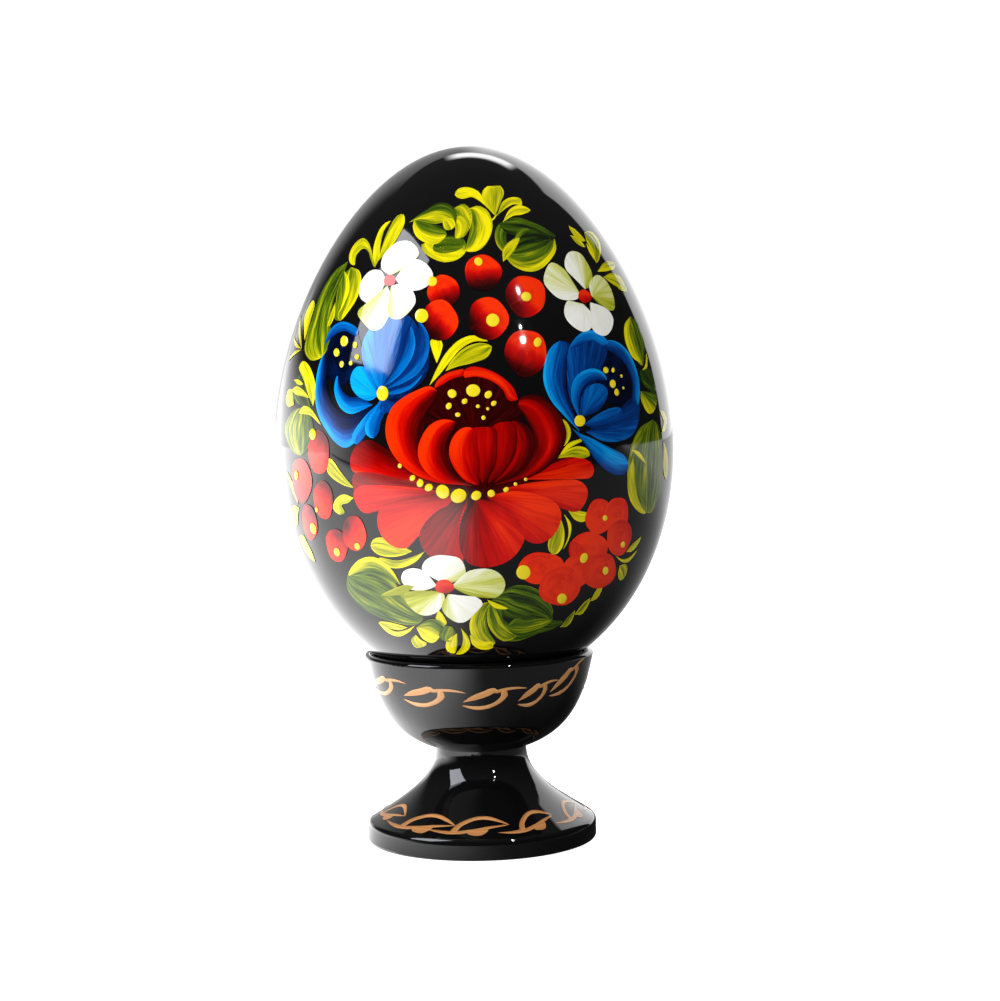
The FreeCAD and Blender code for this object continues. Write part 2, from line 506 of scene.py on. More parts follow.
def paint_blot(sheet, centre, radius, shade, dark_side, coat, place=as_drawn):
    """A round blot of paint, with a tone in its light and at its dark side."""
    rings = max(3, math.ceil(max(radius) / STROKE_FACET))
    v, turned = squares(rings, BLOT_SIDES, 2 * math.pi)
    a = turned + math.radians(dark_side)
    wobble = 1 + sum(depth * np.sin(lobes * a + c) for (lobes, depth), c in zip(BLOT_WOBBLE, centre))
    x = centre[0] + radius[0] * v * wobble * np.cos(a)
    z = centre[1] + radius[1] * v * wobble * np.sin(a)
    darkness = np.clip((v * np.cos(turned) - DARK_START) / DARK_REACH, 0, 1)
    tone = shade[0] + (shade[1] - shade[0]) * darkness
    grid = np.stack(np.vectorize(place)(x, z), axis=2)
    grid[:, -1] = grid[:, 0]
    add_stroke(sheet, grid, tone, v * radius[0] * BLOT_GRAIN, turned * radius[1], coat)


def combine(tree, *parts):
    """One vector out of three values."""
    node = tree.nodes.new("ShaderNodeCombineXYZ")
    for part, socket in zip(parts, node.inputs):
        join(tree, part, socket)
    return node.outputs[0]


def new_group(name, kind, inputs, outputs):
    """An empty node group with named sockets, and its inputs' fields by name."""
    tree = bpy.data.node_groups.new(name, kind)
    for way, sockets in (("INPUT", inputs), ("OUTPUT", outputs)):
        for socket, what in sockets.items():
            tree.interface.new_socket(socket, in_out=way, socket_type="NodeSocket" + what)
    group_input = tree.nodes.new("NodeGroupInput")
    return tree, {name: Field(group_input.outputs[name]) for name in inputs}


def end_in_mesh(tree, geometry, material):
    """Ends a geometry tree in one real mesh with its material."""
    real = add_node(tree, "GeometryNodeRealizeInstances", Geometry=geometry)
    painted = add_node(tree, "GeometryNodeSetMaterial", Geometry=real, Material=material)
    join(tree, painted, tree.nodes.new("NodeGroupOutput").inputs[0])


MESH = {"Geometry": "Geometry"}
ON_EGG = {**{name: "Float" for name in (*EGG_SHAPE, "Turn")}, "Material": "Material"}


def wrap_nodes():
    """The tree that wraps a flat chart, whose -Y side faces out, round the egg's shape."""
    tree, given = new_group("wrap round the egg", "GeometryNodeTree", {**MESH, **ON_EGG}, MESH)
    across, depth, up = split(tree, tree.nodes.new("GeometryNodeInputPosition"))
    tip, shoulder, taper = given["Tip"], given["Shoulder"], given["Taper"]
    c = calc(tree, "MINIMUM", ((up - given["Middle"]) / given["Half Height"]).at_least(-POLE), POLE)
    s = calc(tree, "SQRT", 1.0 - c * c)
    swell = ((tip * c + shoulder) * c + taper) * c + given["Fullness"]
    swell_rate = (tip * 3.0 * c + shoulder * 2.0) * c + taper
    radius = given["Half Width"] * (s * swell)
    lean = given["Half Width"] * (c * swell - s * s * swell_rate)
    out = given["Half Height"] * s
    lift = depth * -1.0 / calc(tree, "SQRT", out * out + lean * lean)
    angle = across / radius + given["Turn"]
    reach = out * lift + radius
    y = reach * calc(tree, "COSINE", angle) * -1.0
    wrapped = combine(tree, reach * calc(tree, "SINE", angle), y, lean * lift + up)
    moved = add_node(tree, "GeometryNodeSetPosition", Geometry=given["Geometry"], Position=wrapped)
    end_in_mesh(tree, moved, given["Material"])
    return tree


wrap_round_egg = wrap_nodes()


def settle(piece, tree, **settings):
    """Runs a geometry tree on a piece with its named inputs, and keeps the result as a plain mesh."""
    modifier = piece.modifiers.new(tree.name, "NODES")
    modifier.node_group = tree
    for item in tree.interface.items_tree:
        if item.in_out == "INPUT" and item.name in settings:
            modifier[item.identifier] = settings[item.name]
    graph = bpy.context.evaluated_depsgraph_get()
    worked_out = piece.evaluated_get(graph)
    plain = bpy.data.meshes.new_from_object(worked_out, preserve_all_data_layers=True, depsgraph=graph)
    piece.modifiers.clear()
    piece.data = plain
    plain.name = piece.name
    plain.set_sharp_from_angle(angle=math.radians(RIM_ANGLE))
    return piece


def new_piece(name, points, faces=()):
    """A mesh object from points in millimetres."""
    mesh = bpy.data.meshes.new(name)
    mesh.from_pydata([tuple(MM * number for number in point) for point in points], [], faces)
    piece = bpy.data.objects.new(name, mesh)
    scene.collection.objects.link(piece)
    return piece


def mark(piece, name, values, domain="POINT"):
    """Stores one number, or three, for each point or face of a piece."""
    values = np.array(values, np.float32)
    kind, key = ("FLOAT", "value") if values.ndim == 1 else ("FLOAT_VECTOR", "vector")
    piece.data.attributes.new(name, kind, domain).data.foreach_set(key, values.ravel())


def flat_piece(name, sheet):
    """A piece's mesh from a sheet of strokes, still on the flat chart."""
    piece = new_piece(name, sheet["points"], sheet["faces"])
    # The faces marked 0 here, a stroke's sides and underside, get a painted shade in the paint's material.
    mark(piece, "top_coat", sheet["top"], "FACE")
    mark(piece, "tone", sheet["tone"])
    mark(piece, "grain", sheet["grain"])
    return piece


def lay_on_egg(name, sheet, paint, turn=0.0):
    """Wraps a sheet of strokes round the egg and lets it ride there."""
    piece = settle(flat_piece(name, sheet), wrap_round_egg, Material=paint, Turn=turn, **EGG_SHAPE)
    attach(piece, "egg")


def bristle_group():
    """The shader group for the fine lines that bristles leave along a stroke."""
    numbers = {name: "Float" for name in ("Tone", "Streaks", "Fineness")}
    results = {name: "Float" for name in ("Tone", "Height")}
    tree, given = new_group("bristle streaks", "ShaderNodeTree", {**numbers, "Grain": "Vector"}, results)
    across, along, stroke = split(tree, given["Grain"])
    across = across * given["Fineness"]
    lines = []
    for kind in (COARSE_BRISTLES, FINE_BRISTLES):
        place = combine(tree, across * kind["fineness"], along * kind["run"], stroke)
        noise = add_node(tree, "ShaderNodeTexNoise", Vector=place, Scale=1.0, Detail=kind["detail"])
        lines.append(Field(noise.outputs["Fac"]) - 0.5)
    both = lines[1] * FINE_SHARE + lines[0]
    toned = both * given["Streaks"] + given["Tone"]
    add_node(tree, "NodeGroupOutput", Tone=toned, Height=both)
    return tree


bristle_streaks = bristle_group()


def read_mark(tree, name, kind="Fac"):
    """A number or vector stored on the piece."""
    return Field(add_node(tree, "ShaderNodeAttribute", attribute_name=name).outputs[kind])


def brushed_paint(name, colours, streaks, fineness=1.6):
    """Brushed paint under clear lacquer, with a painted shade in the darkest colour on the sides of each
    stroke; colours are (tone, red, green, blue) from dark to bright.
    """
    material = bpy.data.materials.new(name)
    tree = new_nodes(material)
    # This mark is 1 on the top of each stroke and 0 on its sides and underside: the tone times it paints the
    # sides in the darkest colour, a painted shade round the paint's edges, and the sides are left rough.
    top_coat = read_mark(tree, "top_coat")
    bristles = tree.nodes.new("ShaderNodeGroup")
    bristles.node_tree = bristle_streaks
    given = {
        "Tone": read_mark(tree, "tone") * top_coat,
        "Grain": read_mark(tree, "grain", "Vector"),
        "Streaks": streaks,
        "Fineness": fineness,
    }
    for socket, value in given.items():
        join(tree, value, bristles.inputs[socket])
    ramp = add_node(tree, "ShaderNodeValToRGB", Fac=bristles.outputs["Tone"])
    stops = ramp.color_ramp.elements
    for _ in colours[2:]:
        stops.new(0.5)
    for stop, (tone, *colour) in zip(stops, colours):
        stop.position = tone
        stop.color = (*colour, 1)
    ridges = {"Height": bristles.outputs["Height"], "Distance": BRISTLE_RIDGE, "Normal": lacquer_waves(tree)}
    shader = add_node(
        tree,
        "ShaderNodeBsdfPrincipled",
        Base_Color=ramp,
        Roughness=top_coat * (TOP_ROUGHNESS - EDGE_ROUGHNESS) + EDGE_ROUGHNESS,
        Normal=add_node(tree, "ShaderNodeBump", **ridges),
    )
    add_node(tree, "ShaderNodeOutputMaterial", Surface=shader)
    return material


LEAF_TONES = [
    (0.0, 0.004, 0.010, 0.001),
    (0.25, 0.030, 0.070, 0.001),
    (0.5, 0.115, 0.185, 0.002),
    (0.75, 0.50, 0.47, 0.003),
    (1.0, 0.88, 0.76, 0.002),
]
leaf_paint = brushed_paint("leaf_paint", LEAF_TONES, streaks=1.25, fineness=2.0)
LEAF_COAT = 0.005
LEAVES = """
  7 .9 | .85 .95 .75 .35 | -4.5,73.7 -5.8,73.6 -5.5,72.7 -4.5,71.9 -3.2,71.4 -1.9,71.5 -1,72 -.5,72.7 -.7,74
    -2,74.4 -3.6,74.3;
  5 .9 | .5 .4 .28 | -4.3,73.6 -4.4,72.9 -3.6,72.5 -2.3,72.5 -1.1,72.9 -.7,73.4 -1,74.2 -2.2,74.6 -3.6,74.4;
  8 .9 | .95 1 .95 .6 .35 | 0,77.9 1,78.2 2,77.7 2.5,76.8 2.7,75.8 2.4,74.5 1.7,73.3 .7,72.6 -.6,72.7
    -.3,73.9 0,75.1 0,76.5;
  6 .9 | .8 .9 .6 .3 | -1.8,78 -.7,78.5 0,77.9 .3,76.9 .1,75.7 -.3,74.9 -.8,74.3 -1.2,75.1 -1.4,76.3
    -1.6,77.3;
  6 .9 | .5 .9 1 .6 | -1.9,76.4 -1.1,77.2 -.3,76.8 0,75.9 -.3,74.9 -.8,74.3 -1.7,74.2 -1.7,75.5;
  6 .9 | .95 .85 .45 .2 | -6.7,76.8 -6.9,75.9 -6.5,74.7 -5.3,73.8 -4,73.6 -3.3,74 -2.8,74.6 -2.8,75.4
    -3.5,75.8 -4.9,76.3 -6.1,76.6;
  7 .9 | .3 .4 .85 .55 | -7.5,76.4 -6.4,77.2 -5.1,78 -3.7,78.7 -2.6,78.6 -1.8,77.9 -1.5,76.9 -1.8,75.8
    -3,76.2 -4.1,76.1 -5.5,76.4 -6.5,76.6;
  3 1 | .95 .85 .6 | -3.1,76.8 -2,76.6 -1.7,75.8 -2.2,75.3 -2.9,75.3 -3.2,76.2;
  5 .9 | .55 .4 .15 | 4,76.3 3.2,75.6 2.9,74.6 3.1,73.4 3.8,72.5 4.6,72 4.3,73.5 4.3,74.8 4.7,75.7;
  6 .9 | .35 .2 .3 .12 | 3.4,75.9 4.4,76.5 6,76.7 7.3,76.3 8.7,75.8 9.8,75.2 10.8,74.5 9.8,74.2 8.1,74.6
    6.6,74.7 5.2,74.6 4.2,74.9;
  7 .9 | .95 .8 .45 .25 | 10.6,74.2 10.7,72.9 9.8,71.6 8.5,70.5 7.2,70.1 5.7,70.4 4.6,71.2 4,72.3 5.1,72
    6.4,71.8 7.9,72.2 9.3,73 10,73.8;
  5 .9 | .5 .3 .1 .22 | 10.1,74 9.4,72.9 8,72 6.4,71.5 5.1,71.7 4.1,72.5 4.8,73.8 6.2,74.8 7.9,74.9
    9.3,74.6;
  3 1 | .55 .4 | 5.2,73.8 5.6,74.9 6.3,75.4 7.3,75.3 6.5,74.9 6,74.3;
  4 1 | .95 .8 .7 | 3.8,71.3 3.8,72.7 4.6,73.7 5.9,74.2 5.6,73.4 5,72.4 4.2,71.6;
  8 .9 .55 | .35 .5 .3 .4 .3 | -16.7,72.2 -19.3,71.2 -21.3,69.5 -22.7,67.5 -23.4,65.3 -24.2,63.4 -24.3,61.7
    -22.6,60.5 -20.3,60.7 -19,62 -18.7,63.4 -19,65.1 -18.6,67.5 -17.7,69.5;
  5 .9 | 1 .9 .4 .6 .35 | -15.9,71.4 -14.4,70.8 -14,69.7 -14.4,67.8 -15.7,66.1 -17.1,65 -18.2,65.3
    -18.2,66.8 -18.1,68.7 -17.3,70.5;
  4 .9 | .95 .7 .3 | -17.2,71 -16.2,70.1 -15.9,68.6 -16.5,67.2 -17.4,66 -17.4,67.5 -17.6,69.4;
  5 .9 | .25 .4 .55 .6 .45 | -23.9,54.9 -22.6,54.6 -21.6,53.2 -21.5,51.7 -22.5,50.1 -24.2,49.2 -26.5,49.7
    -28.3,51 -29.1,52.5 -27.6,53.9 -26,54.6;
  5 .9 | .2 .35 .15 .3 | -24.4,59 -25.6,58.8 -26.6,58 -27.1,56.9 -25.7,55.6 -23.6,55.1 -22,54.6 -22.9,56.4
    -23.6,57.8;
  5 .9 | .85 .6 .4 .3 | 22.9,65 21.2,64 20.9,62.6 21.5,61 22.5,60 24.3,59.1 25.6,60.8 25.8,62.7 25.2,64.1;
  5 .9 | 1 .9 | 22.9,65 21.2,64 20.8,62.6 21.3,61 22.3,59.9 23.9,59.5 22.6,60.8 22.1,62.1 22.2,63.7;
  3 .9 | .12 .25 .15 | 23.4,58.5 23.6,57.2 25.4,56.1 27.4,56 27.2,57.4 26,58.8;
  fan .7 | .9 .8 .4 .1 | 23.2,56 23.3,54.7 24.9,53.3 26.9,54 27.5,55.5 25.3,55.9;
  7 .9 .2 | .55 .35 .45 .3 .4 .3 | 25.6,52.6 22.5,51.6 21.1,50.2 20.1,47.9 20,45.4 20.7,43.2 22.5,41.9
    24.4,41.4 26.5,41.6 28.2,44 28.7,46.8 28.3,50.1 27.1,52.1;
  5 1 | .95 .7 | 21,48.1 20.2,46.6 20,44.9 20.6,43.1 22.4,41.7 24.1,41.4 22.2,43.3 21.5,45.3 21.4,47.1;
  2 1 | .6 .4 | 23.4,51.8 21.5,50.4 20.5,48.2 21.9,49.3 23.3,50.5;
  8 .9 | .4 .5 .32 .42 .35 .5 | -16.9,35 -17.3,33.3 -16.3,31.7 -14.6,30.6 -12.8,29.9 -10.6,29.3 -8.8,29
    -7.3,29.1 -6.5,29.9 -7.4,31.4 -8.5,32.5 -9.3,33.4 -10.1,34.5 -11.9,35.5 -14.1,35.7;
  6 .9 | 1 .85 .5 .4 | -9.2,34.1 -10,35.6 -11.1,36.7 -12.3,37.3 -13.7,37.3 -15.3,36.6 -16.7,35 -14.7,35.1
    -13,35.3 -11.4,35 -10.2,34.4;
  8 .9 | .4 .2 .3 .15 .28 .4 | 1.6,32.1 2.8,33.1 4.2,33.8 5.9,33.7 7.4,33 8.6,31.7 9.2,30.3 9.1,29.3
    10.7,28.9 9.1,28 7,27.5 5,26.8 3.6,26.8 2.3,27.3 1.7,28.3 2.4,29.4 2.3,30.9;
  7 .9 | .9 .6 .8 .35 | 1.6,32 .5,31.7 -.5,30.6 -1,29 -.7,27.6 .1,26.5 1.1,26.1 2,26.6 1.3,28.1 1.1,29.7
    1.5,31.2;
  5 .9 | .75 .4 .65 .3 | 1.4,31.6 1.1,30.3 1.2,29 1.9,27.7 3.1,26.8 4.5,27.4 4,28.4 3.1,29.4 2.8,30.5
    2,31.6
"""


# Sprigs: small bright strokes and buds that fill the gaps between the flowers, in the same yellow
# green as the leaves, and a few seedheads of comma strokes round the rim of the bouquet. They are
# painted over the leaves, in the same piece.
SPRIG_COAT = 0.045
SPRIG_LAYERS = 7
SPRIGS = """
  3 1 | .9 .6 .95 | 10.3,28.2 11.3,28.2 12,29 12.3,30.2 11.4,29.5;
  3 1 | .9 .6 .95 | 12.3,29.7 13.4,29.6 14.2,30.4 14.6,31.6 13.5,31;
  3 1 | .9 .6 .95 | 14.6,31.2 15.7,31.4 16.4,32.4 16.5,33.5 15.5,32.6;
  4 .9 | .95 1 .8 | -24.6,62.9 -25.3,64.3 -26,65.8 -25,67.3 -23.9,67.8 -23.2,67.1 -23.7,65.2;
  4 .9 | .9 1 .95 | -21.5,55 -22.8,56.6 -23.8,58.1 -25.4,59.7 -24.4,60.4 -22.9,59.9 -21.6,58.5 -21,56.8;
  3 1 | .9 .8 | -27.2,57 -25.6,57.4 -24,57 -22.4,56 -24,56.2 -25.6,56.4;
  2 1 | .9 .8 | -26.6,58.2 -25.2,58.2 -23.9,57.6 -25.2,57.6;
  3 1 | .8 .9 | -24.7,54.2 -23.7,55 -22,54.7 -20,52.8 -22,53.9 -23.6,54.1;
  2 1 | .8 .85 | -18.3,67.2 -18.9,66 -19.4,64.4 -19,64.4 -18.2,65.6;
  2 1 | .8 .9 | -25.2,61.9 -27,63.6 -28.5,66.2 -27.3,65 -25.8,63.2;
  2 1 | .8 .9 | -25.2,61.9 -27.6,62.3 -29.5,63.6 -27.8,62.9;
  2 1 | .8 .9 | -25.2,61.8 -27.6,61.2 -30,60.6 -27.6,61.7;
  2 .8 | .7 .95 .9 | -26,55.2 -27,57 -28.3,57 -29,55.8 -28,55;
  2 1 | .95 .8 .95 | 13.1,75.9 14.2,75.5 15.8,74.1 14.4,74.2 13.5,75;
  2 1 | .9 .9 | 13.1,74.7 14.4,74.5 15.5,73.3 14.2,73.6;
  5 1 | .95 .5 .6 .95 | 16,75.2 17.3,75.5 18.3,75.3 19.3,74.2 18.8,72.9 17.2,71.4 16.8,72.8 16.1,74;
  2 1 | .9 .9 | 15.8,73.9 16.5,73.2 17.2,71.6 16.2,72.6;
  3 1 | .95 .7 .9 | 17.1,70.3 18.6,71.4 20.4,71.8 22.1,71.6 21.6,71 19.4,70.5;
  3 1 | .85 .55 .95 | 18.1,69.7 20.4,70.3 22.8,69.7 23.6,68.2 22.2,68.1 20.9,68.6 19.4,69.1;
  2 1 | .9 .9 | 24.1,58.5 25,59.2 25.8,60.6 25.6,59;
  2 1 | .9 .8 | 20.6,49.2 22.3,48.8 23.8,47.4 22.5,48;
  3 1 | .8 .95 | 28.2,53.6 29.6,53.5 30.8,52.6 30,51.3 28.4,51.1 29.3,52.2;
  3 1 | .95 .8 | 28.9,50 30.3,48.6 31,46.8 30.2,45.2 28.9,46.3 28.8,48.3;
  2 1 | 1 .9 | 1.1,32.2 2,31.8 3.6,31 2,31.1;
  3 1 | 1 .8 | -.9,28 -.6,27 .1,26.3 1.7,26.7 .9,26.8 .1,27.2;
  4 1 | 1 .7 .75 1 | -7.5,38.1 -9.5,39.1 -11,39.7 -12.4,39.5 -12.9,38.7 -12.2,37.8 -10.5,37.4 -8.8,37.6;
  3 1 | .85 .8 .9 | -6,38.1 -7.4,37.5 -9.4,37 -11.9,37.3 -10.6,36.2 -9,36.1 -7.1,36.9;
  3 1 | 1 .75 .9 | -14.8,45.4 -16.5,47 -18.5,48.9 -19.1,48.2 -18.9,47.2 -16.8,45.9;
  4 1 | .95 .85 .6 | -15,44.3 -16.5,44.7 -17.9,44 -18.3,43 -17.3,42.3 -16.4,42.6 -16.9,43.4 -15.8,43.7;
  4 1 | .95 .7 .95 | 10.1,41.4 10.5,40 10.4,38.5 9.6,37.4 8.9,37.4 8.4,38.4 8.8,39.8 9.5,40.8;
  3 1 | .9 .9 | 10.5,42 11.4,40.8 11.2,39.2 10.3,37.8 11,39.3 11,40.6;
  3 1 | .95 .7 .9 | 11,42.4 11.9,41.3 13.1,41 14,41.8 12.6,42.3;
  4 1 | .9 .8 .5 | 9.9,53.2 11,52.6 11.5,51.4 11,50.2 9.9,49.6 10.6,50.6 10.7,51.8;
  4 1 | 1 .7 .9 | 9.8,48.5 11.2,49.5 12.5,49.8 13.7,49.4 14,48.7 13.1,48.4 11.6,48.6;
  2 1 | .85 .85 | 9.8,48.6 11.2,50.2 13.9,50.7 11.6,49.8;
  3 1 | .9 .9 | 18.3,36.6 19.8,35.7 21.4,35.7 22.9,37 21.2,36.2 19.8,36.1;
  3 1 | 1 .8 | 20.4,36.9 21.6,36.9 22.8,37.6 23.5,38.6 22.4,38.2 21.2,37.6;
  3 1 | 1 .6 .9 | 19.3,35.3 20.6,35.4 21.2,34.6 20.7,33.6 19.8,33.4 19.2,34.2;
  6 .9 | .95 .8 .95 | 2.9,77 2.6,77.7 1.9,78.6 1.1,80 -.2,80.6 -1.3,80.4 -1.7,79.6 -.9,79.1 .3,79.3
    1.4,78.6;
  4 .9 | 1 .7 .95 | 3,76.9 1.8,78.6 1.5,79.8 2.2,80.7 3,80.4 3.7,80.8 4.2,79.9 3.8,78.8;
  3 .9 | .95 .7 .95 | 3.2,76.9 4,78.7 5.2,79.3 6.3,79.1 6.4,78.3 5.4,78.4 4.4,77.9;
  3 .9 | .95 .7 .9 | 3.9,76.1 4.8,77.7 6,78.3 7.5,77.7 6.4,77.1 5.2,76.9;
  2 1 | .9 .9 | 3.3,77.2 2.9,76.8 2.3,76.1 2.9,76.5;
  5 1 | 1 .9 1 | -5,57.1 -4.1,59 -2.9,60.9 -1.3,62.3 .2,62.7 1.8,62 .2,62 -1.4,61.1 -2.7,59.6 -3.9,58.2;
  3 1 | 1 .85 | -4.1,59.6 -4.6,61 -4.8,62.2 -4.1,62.6 -3.4,61.9 -3.6,60.8;
  4 1 | 1 .7 .65 .95 | -3.1,58.7 -2.3,60 -1,61.2 .8,61.8 2.2,61.4 1.7,60.2 .2,59.6 -1.6,59.2;
  7 .9 | .95 .8 .7 | -12.1,71.1 -12.5,72.8 -13.3,74.3 -14.4,74.9 -15.8,74.4 -16.6,73.2 -16.4,72.1 -15.3,71.6
    -15.2,72.8 -14.1,73.6 -13.2,73.2 -12.7,72.2;
  4 .9 | .95 .75 .9 | -12,71.1 -12.4,73 -12,75 -11.2,76.3 -10,76.8 -10.9,75.6 -11.3,74 -11.4,72.2;
  4 .9 | .8 .7 .95 | -11.5,71.9 -11,73.8 -10.2,75.8 -9,77.4 -8.2,77.5 -8,76.4 -8.9,74.6 -10,73.2;
  2 1 | .8 .9 | -25.5,43.2 -26.4,45.4 -28.3,47.2 -27.2,45.2;
  3 .9 | .9 .7 .9 | -25.4,42.9 -27,43.1 -28.4,42.1 -28,40.6 -26.5,40.8 -26,42;
  4 .9 | .9 .8 .9 | -23.2,36.2 -23.6,37.4 -24.5,38.6 -25.2,39.5 -26.5,39.3 -26,38 -24.8,36.9;
  4 .9 | .5 .6 .9 .95 | -7.5,28.7 -6.4,29.5 -5.2,29.9 -3.9,29 -4.6,27.5 -5.5,26.7 -6.7,27.2;
  3 .9 | .5 .6 .3 | -3.6,26.7 -4.7,27.6 -3.9,29 -3,28.8 -2.5,27.6;
  3 1 | 1 .9 .8 | -2.5,28 -3.8,26.9 -3.8,25.7 -2.9,25.3 -2.5,26.5;
  4 1 | 1 .9 .9 | -2,28.7 -1.2,27.5 -1,26.2 -1.8,25.3 -2.7,25.2 -2,26.2 -1.8,27.4;
  3 1 | .9 .8 .95 | -1,27.8 -.7,26.5 .4,25.8 1.7,26 1.6,26.9 .4,26.8;
  2 1 | .9 .7 | -4.6,31 -4,30.2 -3.7,29.2 -4.7,28.9 -5,30;
  3 1 | .7 .6 .95 | -8.6,28.7 -9.6,28.3 -11.2,28.4 -12.8,29.2 -11.5,29.3 -10.2,29.1;
  4 1 | 1 .8 | -7.6,29 -8.6,28 -10.1,27.4 -11.8,28 -12.8,29.2 -11.5,28.5 -10.2,28.1 -8.8,28.4;
  3 1 | .95 .7 .95 | -7.6,27.8 -8.3,27 -7.8,26 -6.9,26.1 -6.2,26.6 -7.1,27.2;
  4 1 | .35 .5 .6 | 3.4,28.7 4.4,27.6 6.1,27.7 7.9,28.3 9.1,29.2 7.4,29.5 5.7,29.4 4.4,29.7
"""


def paint_greens(sheet, place=as_drawn):
    """The leaves and the sprigs over them."""
    paint_strokes(sheet, LEAVES, LEAF_COAT, place)
    paint_strokes(sheet, SPRIGS, SPRIG_COAT, place, SPRIG_LAYERS)


greens = new_sheet()
paint_greens(greens)
lay_on_egg("leaves_and_sprigs", greens, leaf_paint)


# Berries: round blots of red in clusters, their lower sides left dark, over the sprigs. Each is
# its centre, its radii, the direction of its dark side in degrees, and the tone there.
BERRY_COAT = 0.056
BERRY_LIGHT = 0.97
BERRIES = [
    ((1.4, 70.0), (2.15, 2.15), 275, 0.0),
    ((-3.2, 67.9), (1.9, 1.9), 285, 0.1),
    ((6.4, 67.2), (2.45, 2.45), 215, 0.25),
    ((-3.7, 64.5), (2.1, 2.4), 225, 0.0),
    ((1.9, 64.6), (2.3, 2.5), 215, 0.1),
    ((6.2, 60.6), (2.5, 2.7), 250, 0.1),
    ((-20.5, 49.6), (2.0, 2.6), 60, 0.3),
    ((-24.4, 46.2), (2.4, 2.7), 250, 0.45),
    ((-20.0, 44.0), (1.8, 2.3), 60, 0.35),
    ((-23.2, 41.2), (1.7, 2.2), 60, 0.3),
    ((-18.2, 38.6), (1.9, 2.0), 60, 0.3),
    ((-15.2, 40.1), (1.8, 2.1), 130, 0.3),
    ((15.4, 41.5), (2.1, 2.1), 60, 0.9),
    ((18.2, 41.4), (2.1, 2.3), 60, 0.88),
    ((18.9, 38.8), (2.3, 2.2), 50, 0.8),
    ((13.9, 37.6), (2.9, 2.2), 150, 0.92),
    ((12.4, 35.2), (2.2, 2.0), 60, 0.88),
    ((15.9, 34.9), (2.8, 2.2), 60, 0.9),
    ((7.6, 35.8), (2.9, 1.9), 60, 0.95),
    ((10.1, 33.4), (2.8, 2.4), 60, 0.9),
]
RED_TONES = [
    (0.0, 0.008, 0.0, 0.0),
    (0.25, 0.07, 0.0, 0.0),
    (0.5, 0.30, 0.0, 0.0),
    (0.75, 0.60, 0.002, 0.0),
    (1.0, 0.90, 0.03, 0.0),
]
red_paint = brushed_paint("red_paint", RED_TONES, streaks=0.5)


def paint_berries(sheet, place=as_drawn):
    """The berries, each a step above the last."""
    for number, (centre, radii, dark_side, dark_tone) in enumerate(BERRIES):
        coat = BERRY_COAT + STROKE_STEP * number
        paint_blot(sheet, centre, radii, (BERRY_LIGHT, dark_tone), dark_side, coat, place)


berries = new_sheet()
paint_berries(berries)
lay_on_egg("berries", berries, red_paint)


# The two blue flowers: cup-shaped, drawn half open. Long strokes of ultramarine and white-blue
# curl round a dark middle from one root at the side of each flower.
BLUE_TONES = [
    (0.0, 0.0, 0.0012, 0.010),
    (0.25, 0.0, 0.010, 0.075),
    (0.5, 0.0, 0.045, 0.25),
    (0.75, 0.0, 0.16, 0.55),
    (1.0, 0.003, 0.42, 0.92),
]
BLUE_COAT = 0.06
MIDDLE_COAT = 0.05
MIDDLE_SHADE = (0.04, 0.0)
LEFT_BLUE_FLOWER = """
  5 .9 | .8 .6 .5 | -19.7,62.2 -19.5,62.9 -18.5,64.2 -17,64.8 -15.5,64.6 -14.1,63.7 -14.3,63 -16,63.7
    -18,63.3;
  9 .9 | .95 .75 .4 .15 .05 | -11.5,55 -14.2,51 -16,50.1 -17.6,50.8 -19,52.1 -20.3,53.7 -21.1,55.7
    -21.1,57.8 -20.6,59.8 -19.7,61.1 -18.9,59.5 -18.8,57 -17.6,54.9 -15.6,53.9 -13.6,54.2;
  5 .9 | .95 .75 .3 | -12,55 -15,54 -16.4,54.5 -17.3,55.6 -17.7,57 -17.2,58.5 -16.6,57 -15.3,56 -13.5,55.9;
  fan .9 | .85 .95 1 .9 .5 | -11.3,56 -12.5,55.5 -14,56 -15,57.1 -15.1,58.4 -14.3,59.4 -12.9,59.3 -11.7,58;
  fan .9 | .55 .45 .4 .3 .25 .12 | -10.4,55.4 -9.6,58 -8.9,61 -8.6,64.4 -7.5,65.2 -6.6,64.3 -5.7,62.8
    -5.1,61 -5,59.4 -5.6,57.8 -7,56.6 -8.8,55.2;
  fan .9 | .65 .85 .7 .5 .35 | -10.9,56.3 -12.2,58 -13.3,59.8 -13.5,62 -12.2,64.1 -10,65.2 -8.4,64.9 -8.5,62
    -9.2,59.5 -10,57.5;
  3 .9 | .9 .7 .6 | -11.5,55 -13.5,53.3 -15,51.3 -14.4,50.5 -13,51.6 -12,53.4;
  4 .9 | .9 .65 .4 | -11,55.6 -12.2,54 -13.1,52.4 -12.8,51.5 -12,51.2 -11.4,51.7 -10.9,53.2 -10.3,54.6;
  fan .9 | .5 .4 | -10.6,55.8 -11.1,54.6 -10.4,54 -9.1,54.9;
  5 .9 | .75 .55 .3 | -10.6,56.7 -8.2,57.4 -6.1,58.7 -5,60.9 -5.1,63.1 -6.3,64.7 -6,62.9 -6.4,61 -7.6,59.1
    -9.2,57.7;
  4 .9 | .85 .6 .35 | -10.8,57 -8.8,58.1 -7.2,60 -6.6,61.9 -7.1,63.9 -7.7,62 -8.6,60.1 -9.8,58.4;
  3 .9 | .85 .5 | -10.6,56.2 -8.7,56.2 -6.9,57 -5.8,58.3 -7.4,57.2 -9.2,56.7
"""
